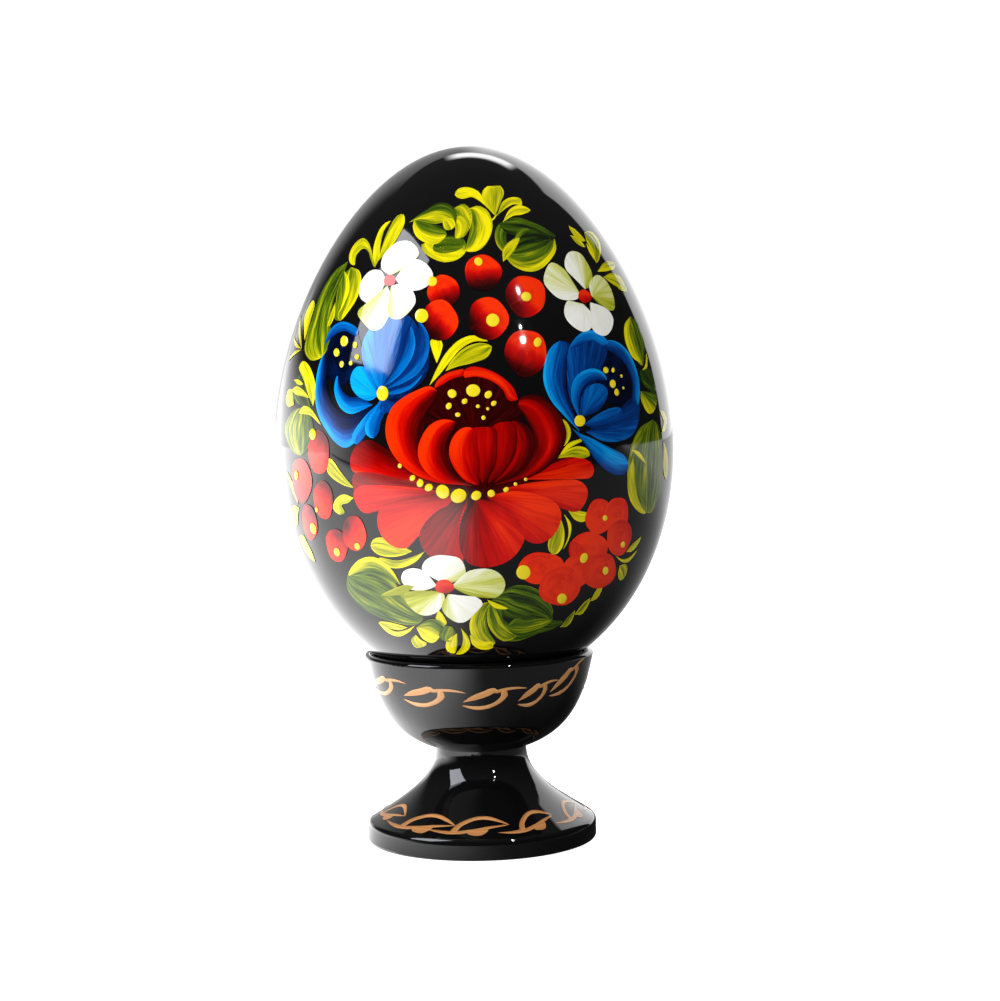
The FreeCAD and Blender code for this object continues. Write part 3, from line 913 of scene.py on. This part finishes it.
RIGHT_BLUE_FLOWER = """
  fan .9 | .67 .57 .42 .32 .22 | 13.5,51.4 16,50.3 19.3,50.3 21.4,51.2 22.5,53 22.6,55 20.9,55.2 19.2,53.2
    17,52;
  7 .9 | .87 .62 .27 | 17,61 17.2,61.9 19,61.9 20.8,61 22.3,59.3 23,57.3 22.9,55.6 22.3,54.4 21.2,54.9
    21.5,56.5 21,58.3 19.8,59.7 18.4,60.4;
  6 .9 | .92 .67 .52 .27 | 12.6,51.5 10.6,53.4 9,55.2 8.2,57.3 8.4,59.3 9.1,61 10.4,61.9 11.8,61.6 11.4,60
    11,58 11.1,56 12,53.5;
  fan .9 | .42 .57 .42 .27 .15 | 12.7,52.8 11.4,55.5 11.2,58.5 11.7,61.3 13.2,62.6 14.8,63 16.3,62.6
    17.3,61.6 17,60 15.8,58.6 14,56;
  5 .9 | .92 .72 .47 | 11.6,60.9 11.9,61.6 13.3,62.8 14.8,63.2 16.4,62.8 17.5,61.7 16.6,61.3 15,61.9
    13.4,61.5;
  7 .9 | .92 .77 .52 .15 | 12.7,53.1 11.8,54.8 11.7,56.4 12.3,57.7 13.6,58.5 15,58.7 16.3,58.3 16.9,57.4
    15.5,57.3 14.2,56.9 13.3,56 12.9,54.7;
  fan .8 | .37 .67 .62 .47 .27 | 13,53.1 12.9,55 13.6,56.2 14.8,56.9 16,56.9 17,56.1 16.6,55 15.3,53.8;
  3 .9 | .62 .52 .37 | 13.2,52.3 15.5,53.5 17.5,54.1 19,54 19.4,53 17.5,52 15.5,51.5;
  6 .9 | .77 .87 .82 .57 .37 | 11.6,51.9 12.8,51.2 14.2,50.7 16,49.9 17.8,49.2 19.4,48.5 20.1,47.5 19.7,46.5
    18.3,46.2 16.5,46.8 14.8,48.1 13.3,50
"""
BLUE_FLOWERS = [
    ((-16.4, 60.8), (3.0, 3.6), LEFT_BLUE_FLOWER),
    ((18.7, 57.6), (3.2, 3.3), RIGHT_BLUE_FLOWER),
]
blue_paint = brushed_paint("blue_paint", BLUE_TONES, streaks=0.6)


def paint_blue_flowers(sheet, place=as_drawn):
    """Each flower's dark middle, and its petals over it."""
    for centre, radii, petals in BLUE_FLOWERS:
        paint_blot(sheet, centre, radii, MIDDLE_SHADE, 0, MIDDLE_COAT, place)
        paint_strokes(sheet, petals, BLUE_COAT, place)


blues = new_sheet()
paint_blue_flowers(blues)
lay_on_egg("blue_flowers", blues, blue_paint)


# Three white daisies of five petals. The brush carries white on one side and yellow green on the
# other, so each petal shades from one to the other; a red blot makes the heart.
WHITE_TONES = [
    (0.0, 0.30, 0.32, 0.005),
    (0.25, 0.52, 0.54, 0.05),
    (0.5, 0.70, 0.73, 0.32),
    (0.75, 0.84, 0.85, 0.70),
    (1.0, 0.93, 0.93, 0.88),
]
DAISY_COAT = 0.07
HEART_COAT = 0.11
HEART_SHADE, HEART_DARK_SIDE = (0.95, 0.6), 270
DAISIES = """
  fan .9 | 1 1 .7 .3 | -9.8,70 -11,71 -10.9,72.3 -9.9,73.4 -8.6,74.1 -7.2,74 -6.2,73 -6.1,72.3 -7,71.5
    -8.3,70.6;
  fan .8 | 1 1 .95 .8 | -10.3,69.4 -11,70.6 -12.4,70.8 -13.6,70 -14.2,68.8 -14,67.6 -12.9,66.9 -11.8,67.1
    -10.8,68.4;
  fan .8 | .9 1 1 .85 | -9.1,69.6 -7.7,71.2 -6.5,71.8 -5.3,71.3 -4.4,70 -4.6,69 -5.8,68.2 -7,68.1 -8.3,68.7;
  fan .9 | 0 .3 .8 .9 | -10.1,68.8 -11.6,67.6 -14.3,65.8 -13.4,64.6 -12.1,63.6 -10.9,63.8 -10,65 -9.4,66.9;
  fan .9 | .1 .6 1 .85 | -9.6,68.8 -10,66.5 -9.8,65.1 -8.5,64.8 -7.2,65.7 -6.5,66.8 -6.9,68.1 -8.1,68.9;
  fan .9 | 1 .85 .3 .05 | 14.5,68.1 13,69.4 11.9,70.3 11.7,71.2 12.3,72.4 13.3,72.7 14.5,72.4 15.4,71.3
    16,70 15.8,69.1 15.1,68.3;
  fan .9 | .1 .45 .8 .9 | 13.6,67.6 12.5,69.2 11.6,70.4 9.8,71.2 8.9,70 8.7,68.8 9.5,67.7 10.6,66.9 12,66.7
    13.2,66.9;
  fan .8 | .4 .95 1 .9 | 14,66.3 13,66.3 11.8,66.7 11.2,65.6 11.4,64.5 12.8,63.3 14,63 15.1,63.6 15.3,65;
  fan .8 | .9 1 1 | 15.1,66.5 15.1,64.8 15,63.5 16,62.7 17.3,62.6 18.4,63.4 18.9,64.6 18.3,65.5 17,66.1;
  fan .9 | .7 .4 .2 .05 | 15.4,67.3 15.2,68.5 16,69.5 17,69.9 18.3,69.4 19.2,68.4 19.6,67 19.4,65.8
    18.4,65.6 16.8,66.3;
  fan .9 | 1 1 .85 .1 | -4.1,34.4 -5.2,35 -6.4,35.9 -6,37 -4.8,37.6 -3.3,37.6 -1.9,37.2 -1.3,35.9 -1.5,35
    -2.8,34.4;
  fan .8 | .9 1 1 .9 | -4.7,34 -5.6,35.2 -6.4,35.9 -7.7,36.1 -8.8,35.6 -9,34.6 -8.3,33.7 -6.8,33.4
    -5.6,33.6;
  fan .9 | .9 .55 .3 0 | -3,33.9 -2.2,34.6 -1.2,35.6 .5,36 2.1,35.7 3.1,34.7 3.2,33.6 2.3,32.5 .5,32.5
    -1.2,32.9;
  fan .95 | .05 0 .3 .85 .4 | -4.2,33.3 -5.5,33.4 -7.5,33.4 -8.8,33 -8.6,32 -7.3,30.6 -6,30.3 -4.7,30.8
    -4,31.8 -3.8,32.8;
  fan .8 | .15 .9 1 1 | -3.4,33 -4.2,31.4 -3.7,30.3 -2.3,29.4 -1.3,29.6 -.3,30.6 .6,31.8 -.2,32.6 -2,32.7;
  3 1 | .1 0 | -7.4,33.9 -8.5,34.1 -9.8,33.7 -11.9,32.7 -10.3,32.7 -8.7,33
"""
DAISY_HEARTS = [((-9.8, 69.4), (0.8, 0.7)), ((14.3, 67.2), (1.0, 0.8)), ((-3.8, 33.9), (1.1, 0.85))]
white_paint = brushed_paint("white_paint", WHITE_TONES, streaks=0.8)


def paint_hearts(sheet, place=as_drawn):
    """The daisies' red hearts."""
    for centre, radii in DAISY_HEARTS:
        paint_blot(sheet, centre, radii, HEART_SHADE, HEART_DARK_SIDE, HEART_COAT, place)


whites = new_sheet()
paint_strokes(whites, DAISIES, DAISY_COAT)
lay_on_egg("white_daisies", whites, white_paint)
hearts = new_sheet()
paint_hearts(hearts)
lay_on_egg("daisy_hearts", hearts, red_paint)


# The central peony: a skirt of broad red petals, a cup of overlapping petals above it, and a
# dark maroon middle. The skirt is painted first and the front of the cup last.
SKIRT_COAT = 0.05
CUP_COAT = 0.075
PEONY_SKIRT = """
  fan 1 | .3 .2 .12 .1 .2 .3 | 0,43.2 -6,43.4 -11.5,45.9 -13,49.6 -9,48.6 -3,47 4,46.8 11,48.6 9,45 5,43.6;
  fan .8 | .6 .85 .95 .8 .6 .3 | 4.5,46.2 8,46.3 11,46.4 13,46 14.2,46.2 14.6,46.9 14.2,47.8 13,48.4 11,48.5
    8,47.4;
  fan .7 | .65 .55 .8 1 .95 .85 | 3,45.2 7.5,44.3 10,43.2 11.2,42.3 12.4,42.3 13.3,43.2 13.7,44.3 13.3,45.3
    12.2,45.9 10,46 6.4,45.8;
  fan .5 | .75 .95 .85 .4 .1 0 | -5,45.9 -8,46.2 -10.6,46.7 -13.2,46.9 -15,47.4 -15.3,48.8 -14.4,50.3
    -12.7,51 -10.8,50.3 -8.2,48.3;
  fan .6 | .6 .5 .42 .4 | -4,45.4 -8,45.2 -11.5,45.1 -14.8,45.1 -15.1,46.2 -14.8,47.1 -12,47.2 -9,46.6;
  fan .5 | .35 .5 .75 .85 .9 | -3.5,45 -6.5,44.2 -9,44 -11.4,43.1 -12.9,42.5 -13.9,42.7 -14.7,43.7 -15,44.8
    -14.2,45.6 -12,45.8 -8,45.6;
  fan .5 | .8 .95 1 .7 .5 .4 | -2,44.6 -5.8,40.9 -7.2,39.4 -8.2,38.5 -9.7,38.6 -11,39.5 -11.7,40.7 -11.8,42
    -11.2,43.3 -9,44.1 -5.5,44.6;
  fan .45 | .85 .75 .5 .42 .3 | -.9,44.1 -1.9,41.5 -2,38.6 -1.6,36.6 -3.2,36.6 -5,37.2 -6.2,38.4 -6.6,39.8
    -6.2,41 -4.2,42.9;
  fan .55 | .45 .6 .9 1 .95 | 1.2,44.4 3.5,42.8 5,41 5.6,39.3 7.1,38.7 8.8,39.3 9.9,40.8 10.1,42.2 9.4,43.4
    7.5,44.3 4.5,44.9;
  fan .5 | .12 .3 .5 .6 .85 .75 .5 | 0,44.3 -1.3,42.6 -1.9,40.6 -1.9,38.6 -1.2,36.9 .2,36.2 2,36.2 3.8,36.9
    5,38.1 5.6,39.5 5.2,41.1 3.4,43
"""
PEONY_CUP = """
  fan 1 | .05 .08 .1 .08 .05 | 0,51 -4,51.5 -5.8,53.5 -4.8,56.7 -2.5,58.3 0,58.7 3,57.8 4.9,55.7 5.6,54
    4.5,51.5;
  5 .9 | .75 .95 .8 | 5.1,55.3 4.6,56.6 3.3,57.9 1.6,58.8 -.2,59.1 -1.1,58.6 -1,57.9 .2,58 2,57.5 3.4,56.4
    3.9,55.3 4.4,55.1;
  3 .9 | .95 .9 .6 | -1.1,58.9 -2.8,58.5 -4.1,57.6 -4.4,56.8 -3.6,57.1 -2.3,57.8 -1,58.2;
  10 .55 | 1 .95 .55 .25 .05 | -1,45.7 -4.6,46.1 -7.3,47.2 -9.3,49 -10.3,51.1 -10.3,53 -9.5,54.7 -8.1,55.8
    -6.4,56.6 -5,57 -4.2,56.5 -4.3,55.6 -5.1,54 -5.7,51.6 -4.5,48.2;
  10 .5 | .1 .3 .55 .72 .5 .4 .15 | 2,45.6 6.2,46.4 8.6,47.6 10.3,49.4 10.9,51.2 10.4,53 9.2,54.6 7.8,55.6
    6.5,55.8 5.4,55.5 5.1,54.7 5.9,53.2 6.6,51.5 6.6,49 4.8,46.9;
  8 .55 | .95 1 .6 .3 .06 | -.3,45.6 -3.2,46 -5.3,47 -6.3,48.4 -6.5,49.8 -6,51.3 -5,52.6 -3.6,53.2 -2.2,52.9
    -2,52.1 -2.7,50.9 -2.9,49 -2.1,47;
  6 .55 | .08 .25 .5 .6 .45 | 2,45.8 4.6,46.7 6.3,48.4 6.9,50.1 6.6,51.6 5.6,52.6 4.4,52.9 3.9,51.5 3.9,49.5
    3.2,47.4;
  5 .5 | .3 .5 .62 .4 | 1.4,45.7 3.4,47.2 4.6,49 4.9,51 4.6,52.6 3.3,52.8 2.1,52.3 1.8,50.6 1.8,48.4;
  4 .5 | .32 .55 .68 .5 | .9,45.7 2.2,47.5 2.6,49.7 2.4,52.1 1.2,52.2 -.2,52.1 -.7,50 -.3,47.7;
  3 .6 | .45 .6 .72 1 .95 | .4,45.6 .6,48 .4,50.2 -.1,52.1 -1.3,52.2 -2.4,51.2 -2.9,49.4 -2.3,47.6
    -1.1,46.2
"""


def paint_peony(sheet, place=as_drawn):
    """The skirt, and the cup over it."""
    paint_strokes(sheet, PEONY_SKIRT, SKIRT_COAT, place)
    paint_strokes(sheet, PEONY_CUP, CUP_COAT, place)


reds = new_sheet()
paint_peony(reds)
lay_on_egg("central_peony", reds, red_paint)


# The yellow dots: drops of thick paint set with the end of the brush handle, on the berries, in
# the hearts of the flowers and in a row along the peony's waist. Each is across,up,radius in
# millimetres, and no drop is quite round.
DOTS = """
    -8.7,48,.25 -7.2,46.6,.33 -6.3,46,.42 -5.3,45.5,.45 -3.7,45,.78 -1.9,44.5,.85 .1,44.5,.55 1.8,44.7,.42
    3.5,45.1,.3 4.6,45.7,.22 5.8,46.2,.2 0,56.4,.75 -2.4,56.1,.5 1.7,55.9,.42 -1,55.2,.32 -2.8,54.7,.35
    2.3,54.9,.3 .5,54.6,.22 1.6,54.3,.18 -1.8,53.7,.28 1.1,53.3,.24
    -16.2,62.5,.62 -14.5,62,.36 -17.4,61.2,.48 -14.2,60.6,.33 -15.1,59.9,.28 -16.5,59.8,.36 -10.7,56.3,.8
    12.7,52.7,.7 17.8,56.9,.48 18.4,55.9,.4 16.8,58.5,.4 18,58.5,.28 19.4,57.8,.2 19.6,56.4,.18
    .9,71.3,.48 -4.5,69.1,.58 6.4,67.1,.58 -5.8,65.1,.8 2.4,64.4,.75 7.6,61.8,.5
    -21.5,51.7,.65 -25.4,46.8,.5 -21.3,42.8,.3 -22.4,40.5,.65 -18.2,37.8,.5 -14.8,38.6,.4
    16.2,41.3,.35 19.5,37.9,.38 13.2,36.7,.58 16.7,34.9,.5 5.4,35.4,.85 10.3,31.9,.65
"""
DOT_COLOURS = [(0.0, 0.62, 0.42, 0.01), (0.5, 0.86, 0.66, 0.01), (1.0, 0.93, 0.80, 0.05)]
DOT_TONE = 0.6
DOT_THICKNESS = 0.07
DOT_COAT = 0.11
DOT_STRETCH = 0.12
DOT_SEED = 4
DOT_TURN = 6.0
yellow_paint = brushed_paint("yellow_paint", DOT_COLOURS, streaks=0.3)


def random_number(tree, low, high, seed):
    """A number drawn between low and high for each point."""
    node = add_node(tree, "FunctionNodeRandomValue", Seed=seed)
    join(tree, low, node.inputs[2])
    join(tree, high, node.inputs[3])
    return Field(node.outputs[1])


def point_number(tree, name):
    """A number stored on each point of the piece."""
    return Field(add_node(tree, "GeometryNodeInputNamedAttribute", data_type="FLOAT", Name=name).outputs[0])


def drop_nodes():
    """The tree that sets a flat round drop at each point of a chart, then wraps them on the egg."""
    drop_sockets = {"Seed": "Int", **{name: "Float" for name in ("Thickness", "Coat", "Stretch")}}
    tree, given = new_group("drops of paint", "GeometryNodeTree", {**MESH, **drop_sockets, **ON_EGG}, MESH)
    drop = add_node(tree, "GeometryNodeMeshIcoSphere", Radius=1.0, Subdivisions=3)
    radius = point_number(tree, "radius")
    coat = combine(tree, 0.0, given["Coat"] * -1.0)
    lifted = add_node(tree, "GeometryNodeSetPosition", Geometry=given["Geometry"], Offset=coat)
    stretch = random_number(tree, 1.0 - given["Stretch"], 1.0 + given["Stretch"], given["Seed"])
    lean = random_number(tree, 0.0, DOT_TURN, given["Seed"])
    placed = add_node(
        tree,
        "GeometryNodeInstanceOnPoints",
        Points=lifted,
        Instance=drop,
        Rotation=combine(tree, 0.0, lean),
        Scale=combine(tree, radius * stretch, given["Thickness"], radius / stretch),
    )
    wrap = tree.nodes.new("GeometryNodeGroup")
    wrap.node_tree = wrap_round_egg
    join(tree, add_node(tree, "GeometryNodeRealizeInstances", Geometry=placed), wrap.inputs["Geometry"])
    for name in ON_EGG:
        join(tree, given[name], wrap.inputs[name])
    smooth = add_node(tree, "GeometryNodeSetShadeSmooth", Geometry=wrap)
    end_in_mesh(tree, smooth, given["Material"])
    return tree


drops_of_paint = drop_nodes()


def set_dots(name, turn=0.0, place=as_drawn):
    """Sets the yellow dots on one face of the egg."""
    dots = drawn(DOTS)
    piece = new_piece(name, [(x, 0, z) for x, z in (place(x, z) for x, z, _ in dots)])
    mark(piece, "radius", [MM * radius for *_, radius in dots])
    mark(piece, "tone", [DOT_TONE] * len(dots))
    mark(piece, "top_coat", [1.0] * len(dots))
    mark(piece, "grain", [(*place(x, z), radius) for x, z, radius in dots])
    drop = {"Thickness": DOT_THICKNESS * MM, "Coat": DOT_COAT * MM, "Stretch": DOT_STRETCH, "Seed": DOT_SEED}
    settle(piece, drops_of_paint, Turn=turn, Material=yellow_paint, **drop, **EGG_SHAPE)
    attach(piece, "egg")


set_dots("yellow_dots")


# The bouquet at the back: the same flowers painted again the other way round, in the same paints
# and strokes, so that the egg has a bouquet on both faces.
def other_way_round(across, up):
    """The mirrored place of a stroke's point."""
    return -across, up


back_greens = new_sheet()
paint_greens(back_greens, other_way_round)
lay_on_egg("back_leaves", back_greens, leaf_paint, math.pi)
back_reds = new_sheet()
paint_berries(back_reds, other_way_round)
paint_peony(back_reds, other_way_round)
paint_hearts(back_reds, other_way_round)
lay_on_egg("back_peony_and_berries", back_reds, red_paint, math.pi)
back_blues = new_sheet()
paint_blue_flowers(back_blues, other_way_round)
lay_on_egg("back_blue_flowers", back_blues, blue_paint, math.pi)
back_whites = new_sheet()
paint_strokes(back_whites, DAISIES, DAISY_COAT, other_way_round)
lay_on_egg("back_daisies", back_whites, white_paint, math.pi)
set_dots("back_dots", math.pi, other_way_round)


# The bronze chains: a leaf curl in bronze powder paint, repeated round the cup and round the foot.
# Both are painted on the finished lacquer, freehand, so no two links are quite alike. A link is
# its start in degrees, its height in millimetres, its tilt in degrees and its relative length.
BRONZE_TONES = [(0.0, 0.16, 0.055, 0.014), (0.5, 0.55, 0.25, 0.085), (1.0, 0.80, 0.45, 0.20)]
CHAIN_COAT = 0.03
LINK_SHAKE = 0.05
LINK_SEED = 3
CUP_LINK = """
  6 1 | .75 .6 .5 | 0,.1 .9,.75 1.6,1.1 2.6,1.45 3.3,1.75 3.9,1.75 4.2,1.5 3.8,1.15 3,.75 1.6,.35;
  4 1 | .75 .6 .5 | 3.4,1.2 4.2,1.5 5.5,1.7 6.8,1.65 7.9,1.35 6.7,1.4 5.5,1.35 4.2,1.1;
  6 1 | .5 .6 .75 | 5.2,1.45 5.5,.8 4.9,0 3.8,-.65 2.6,-1 1.3,-.95 -.2,-.3 1.4,-.5 2.8,-.45 3.9,-.05 4.6,.6
    4.7,1.3
"""
FOOT_LINK = """
  6 1 | .5 .4 .3 | 0,.1 1.2,-.25 2.6,-.5 4,-.45 5.4,-.1 7.4,.45 9.6,.95 7.4,.85 5.4,.4 3.6,.05 2,.05;
  fan 1 | .45 .35 | 4.6,.1 5.1,-.5 5.8,-.7 6.5,-.6 7.2,.4 6,.35;
  6 1 | .3 .42 .5 | 2.9,-.1 3.4,1 4.4,1.9 5.8,2.5 7.3,2.5 8.6,1.9 9.7,.9 8.4,1.5 7.2,1.95 5.9,1.95 4.8,1.45
    4,.7 3.7,0
"""
CUP_LINKS = [(-71, 1.3, -3, 0.95), (-43, 0.5, -4, 1.15), (-8.7, 0, 2, 1.0)]
CUP_LINKS += [(20.5, -0.1, 9, 0.78), (39, 0.6, 20, 1.0)]
CUP_LINKS += [(start, 0.3, 4 - start % 9, 1.0) for start in range(82, 260, 29)]
FOOT_LINKS = [(-94, 0.6, 0, 0.9), (-66, 0, 0, 1.2), (-32, 0, 0, 1.05), (8, -0.4, 6, 0.95), (43, 0, 3, 0.95)]
FOOT_LINKS += [(start, 0, start % 7 - 3, 1.0) for start in range(80, 230, 36)]
LIP, NECK, FOOT_EDGE = (14.5, 23.25), (5.8, 11.7), (14.1, 2.68)
PROFILE_PLACES = 128


def pulled(end, reach, way):
    """The place at a reach in millimetres and a way in degrees from a curve's end."""
    return end[0] + reach * math.cos(math.radians(way)), end[1] + reach * math.sin(math.radians(way))


CUP_PROFILE = {
    "Start": LIP,
    "Start Pull": pulled(LIP, 6.6, 258),
    "End Pull": pulled(NECK, 5.5, 18),
    "End": NECK,
}
FOOT_PROFILE = {
    "Start": NECK,
    "Start Pull": pulled(NECK, 3.1, 270),
    "End Pull": pulled(FOOT_EDGE, 7.5, 149),
    "End": FOOT_EDGE,
}


def band_nodes():
    """The tree that repeats a flat link along a line and wraps it on a turned profile."""
    sockets = {**MESH, "Link": "Object", "Seed": "Int", "Shake": "Float", "Radius": "Float"}
    sockets |= {"Band Middle": "Float", **{name: "Vector" for name in CUP_PROFILE}, "Material": "Material"}
    tree, given = new_group("chain round the stand", "GeometryNodeTree", sockets, MESH)
    shaken = []
    for seed in (1, 2):
        low, high = 1.0 - given["Shake"], 1.0 + given["Shake"]
        shaken.append(random_number(tree, low, high, given["Seed"] + seed))
    link = add_node(tree, "GeometryNodeObjectInfo", Object=given["Link"])
    chain = add_node(
        tree,
        "GeometryNodeInstanceOnPoints",
        Points=given["Geometry"],
        Instance=link.outputs["Geometry"],
        Rotation=combine(tree, 0.0, point_number(tree, "tilt")),
        Scale=combine(tree, point_number(tree, "length") * shaken[0], 1.0, shaken[1]),
    )
    flat_chain = add_node(tree, "GeometryNodeRealizeInstances", Geometry=chain)
    profile = add_node(tree, "GeometryNodeCurvePrimitiveBezierSegment", Resolution=PROFILE_PLACES)
    for socket, name in zip(profile.inputs[1:], CUP_PROFILE):
        join(tree, given[name], socket)
    across, depth, up = split(tree, tree.nodes.new("GeometryNodeInputPosition"))
    along = add_node(tree, "GeometryNodeSampleCurve", mode="LENGTH", Curves=profile)
    join(tree, given["Band Middle"] - up, along.inputs["Length"])
    spot_out, _, spot_up = split(tree, along.outputs["Position"])
    way_out, _, way_up = split(tree, along.outputs["Tangent"])
    angle = across / given["Radius"]
    lift = depth * -1.0
    reach = spot_out + way_up * -1.0 * lift
    y = reach * calc(tree, "COSINE", angle) * -1.0
    wrapped = combine(tree, reach * calc(tree, "SINE", angle), y, way_out * lift + spot_up)
    moved = add_node(tree, "GeometryNodeSetPosition", Geometry=flat_chain, Position=wrapped)
    end_in_mesh(tree, moved, given["Material"])
    return tree


chain_round_stand = band_nodes()
bronze_paint = brushed_paint("bronze_paint", BRONZE_TONES, streaks=0.7)


def paint_chain(name, link, links, radius, middle, profile):
    """A chain round the stand, of one drawn link, at a distance of middle along the profile."""
    sheet = new_sheet()
    paint_strokes(sheet, link, CHAIN_COAT)
    one_link = flat_piece("link", sheet)
    piece = new_piece(name, [(radius * math.radians(start), 0, up) for start, up, _, _ in links])
    mark(piece, "tilt", [-math.radians(tilt) for _, _, tilt, _ in links])
    mark(piece, "length", [length for *_, length in links])
    band = {socket: (MM * across, 0, MM * up) for socket, (across, up) in profile.items()}
    band |= {"Radius": MM * radius, "Band Middle": MM * middle, "Seed": LINK_SEED, "Shake": LINK_SHAKE}
    settle(piece, chain_round_stand, Link=one_link, Material=bronze_paint, **band)
    bpy.data.objects.remove(one_link)
    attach(piece, "stand")


paint_chain("bronze_chain_on_cup", CUP_LINK, CUP_LINKS, 13.9, 4.4, CUP_PROFILE)
paint_chain("bronze_chain_on_foot", FOOT_LINK, FOOT_LINKS, 12.6, 11.6, FOOT_PROFILE)
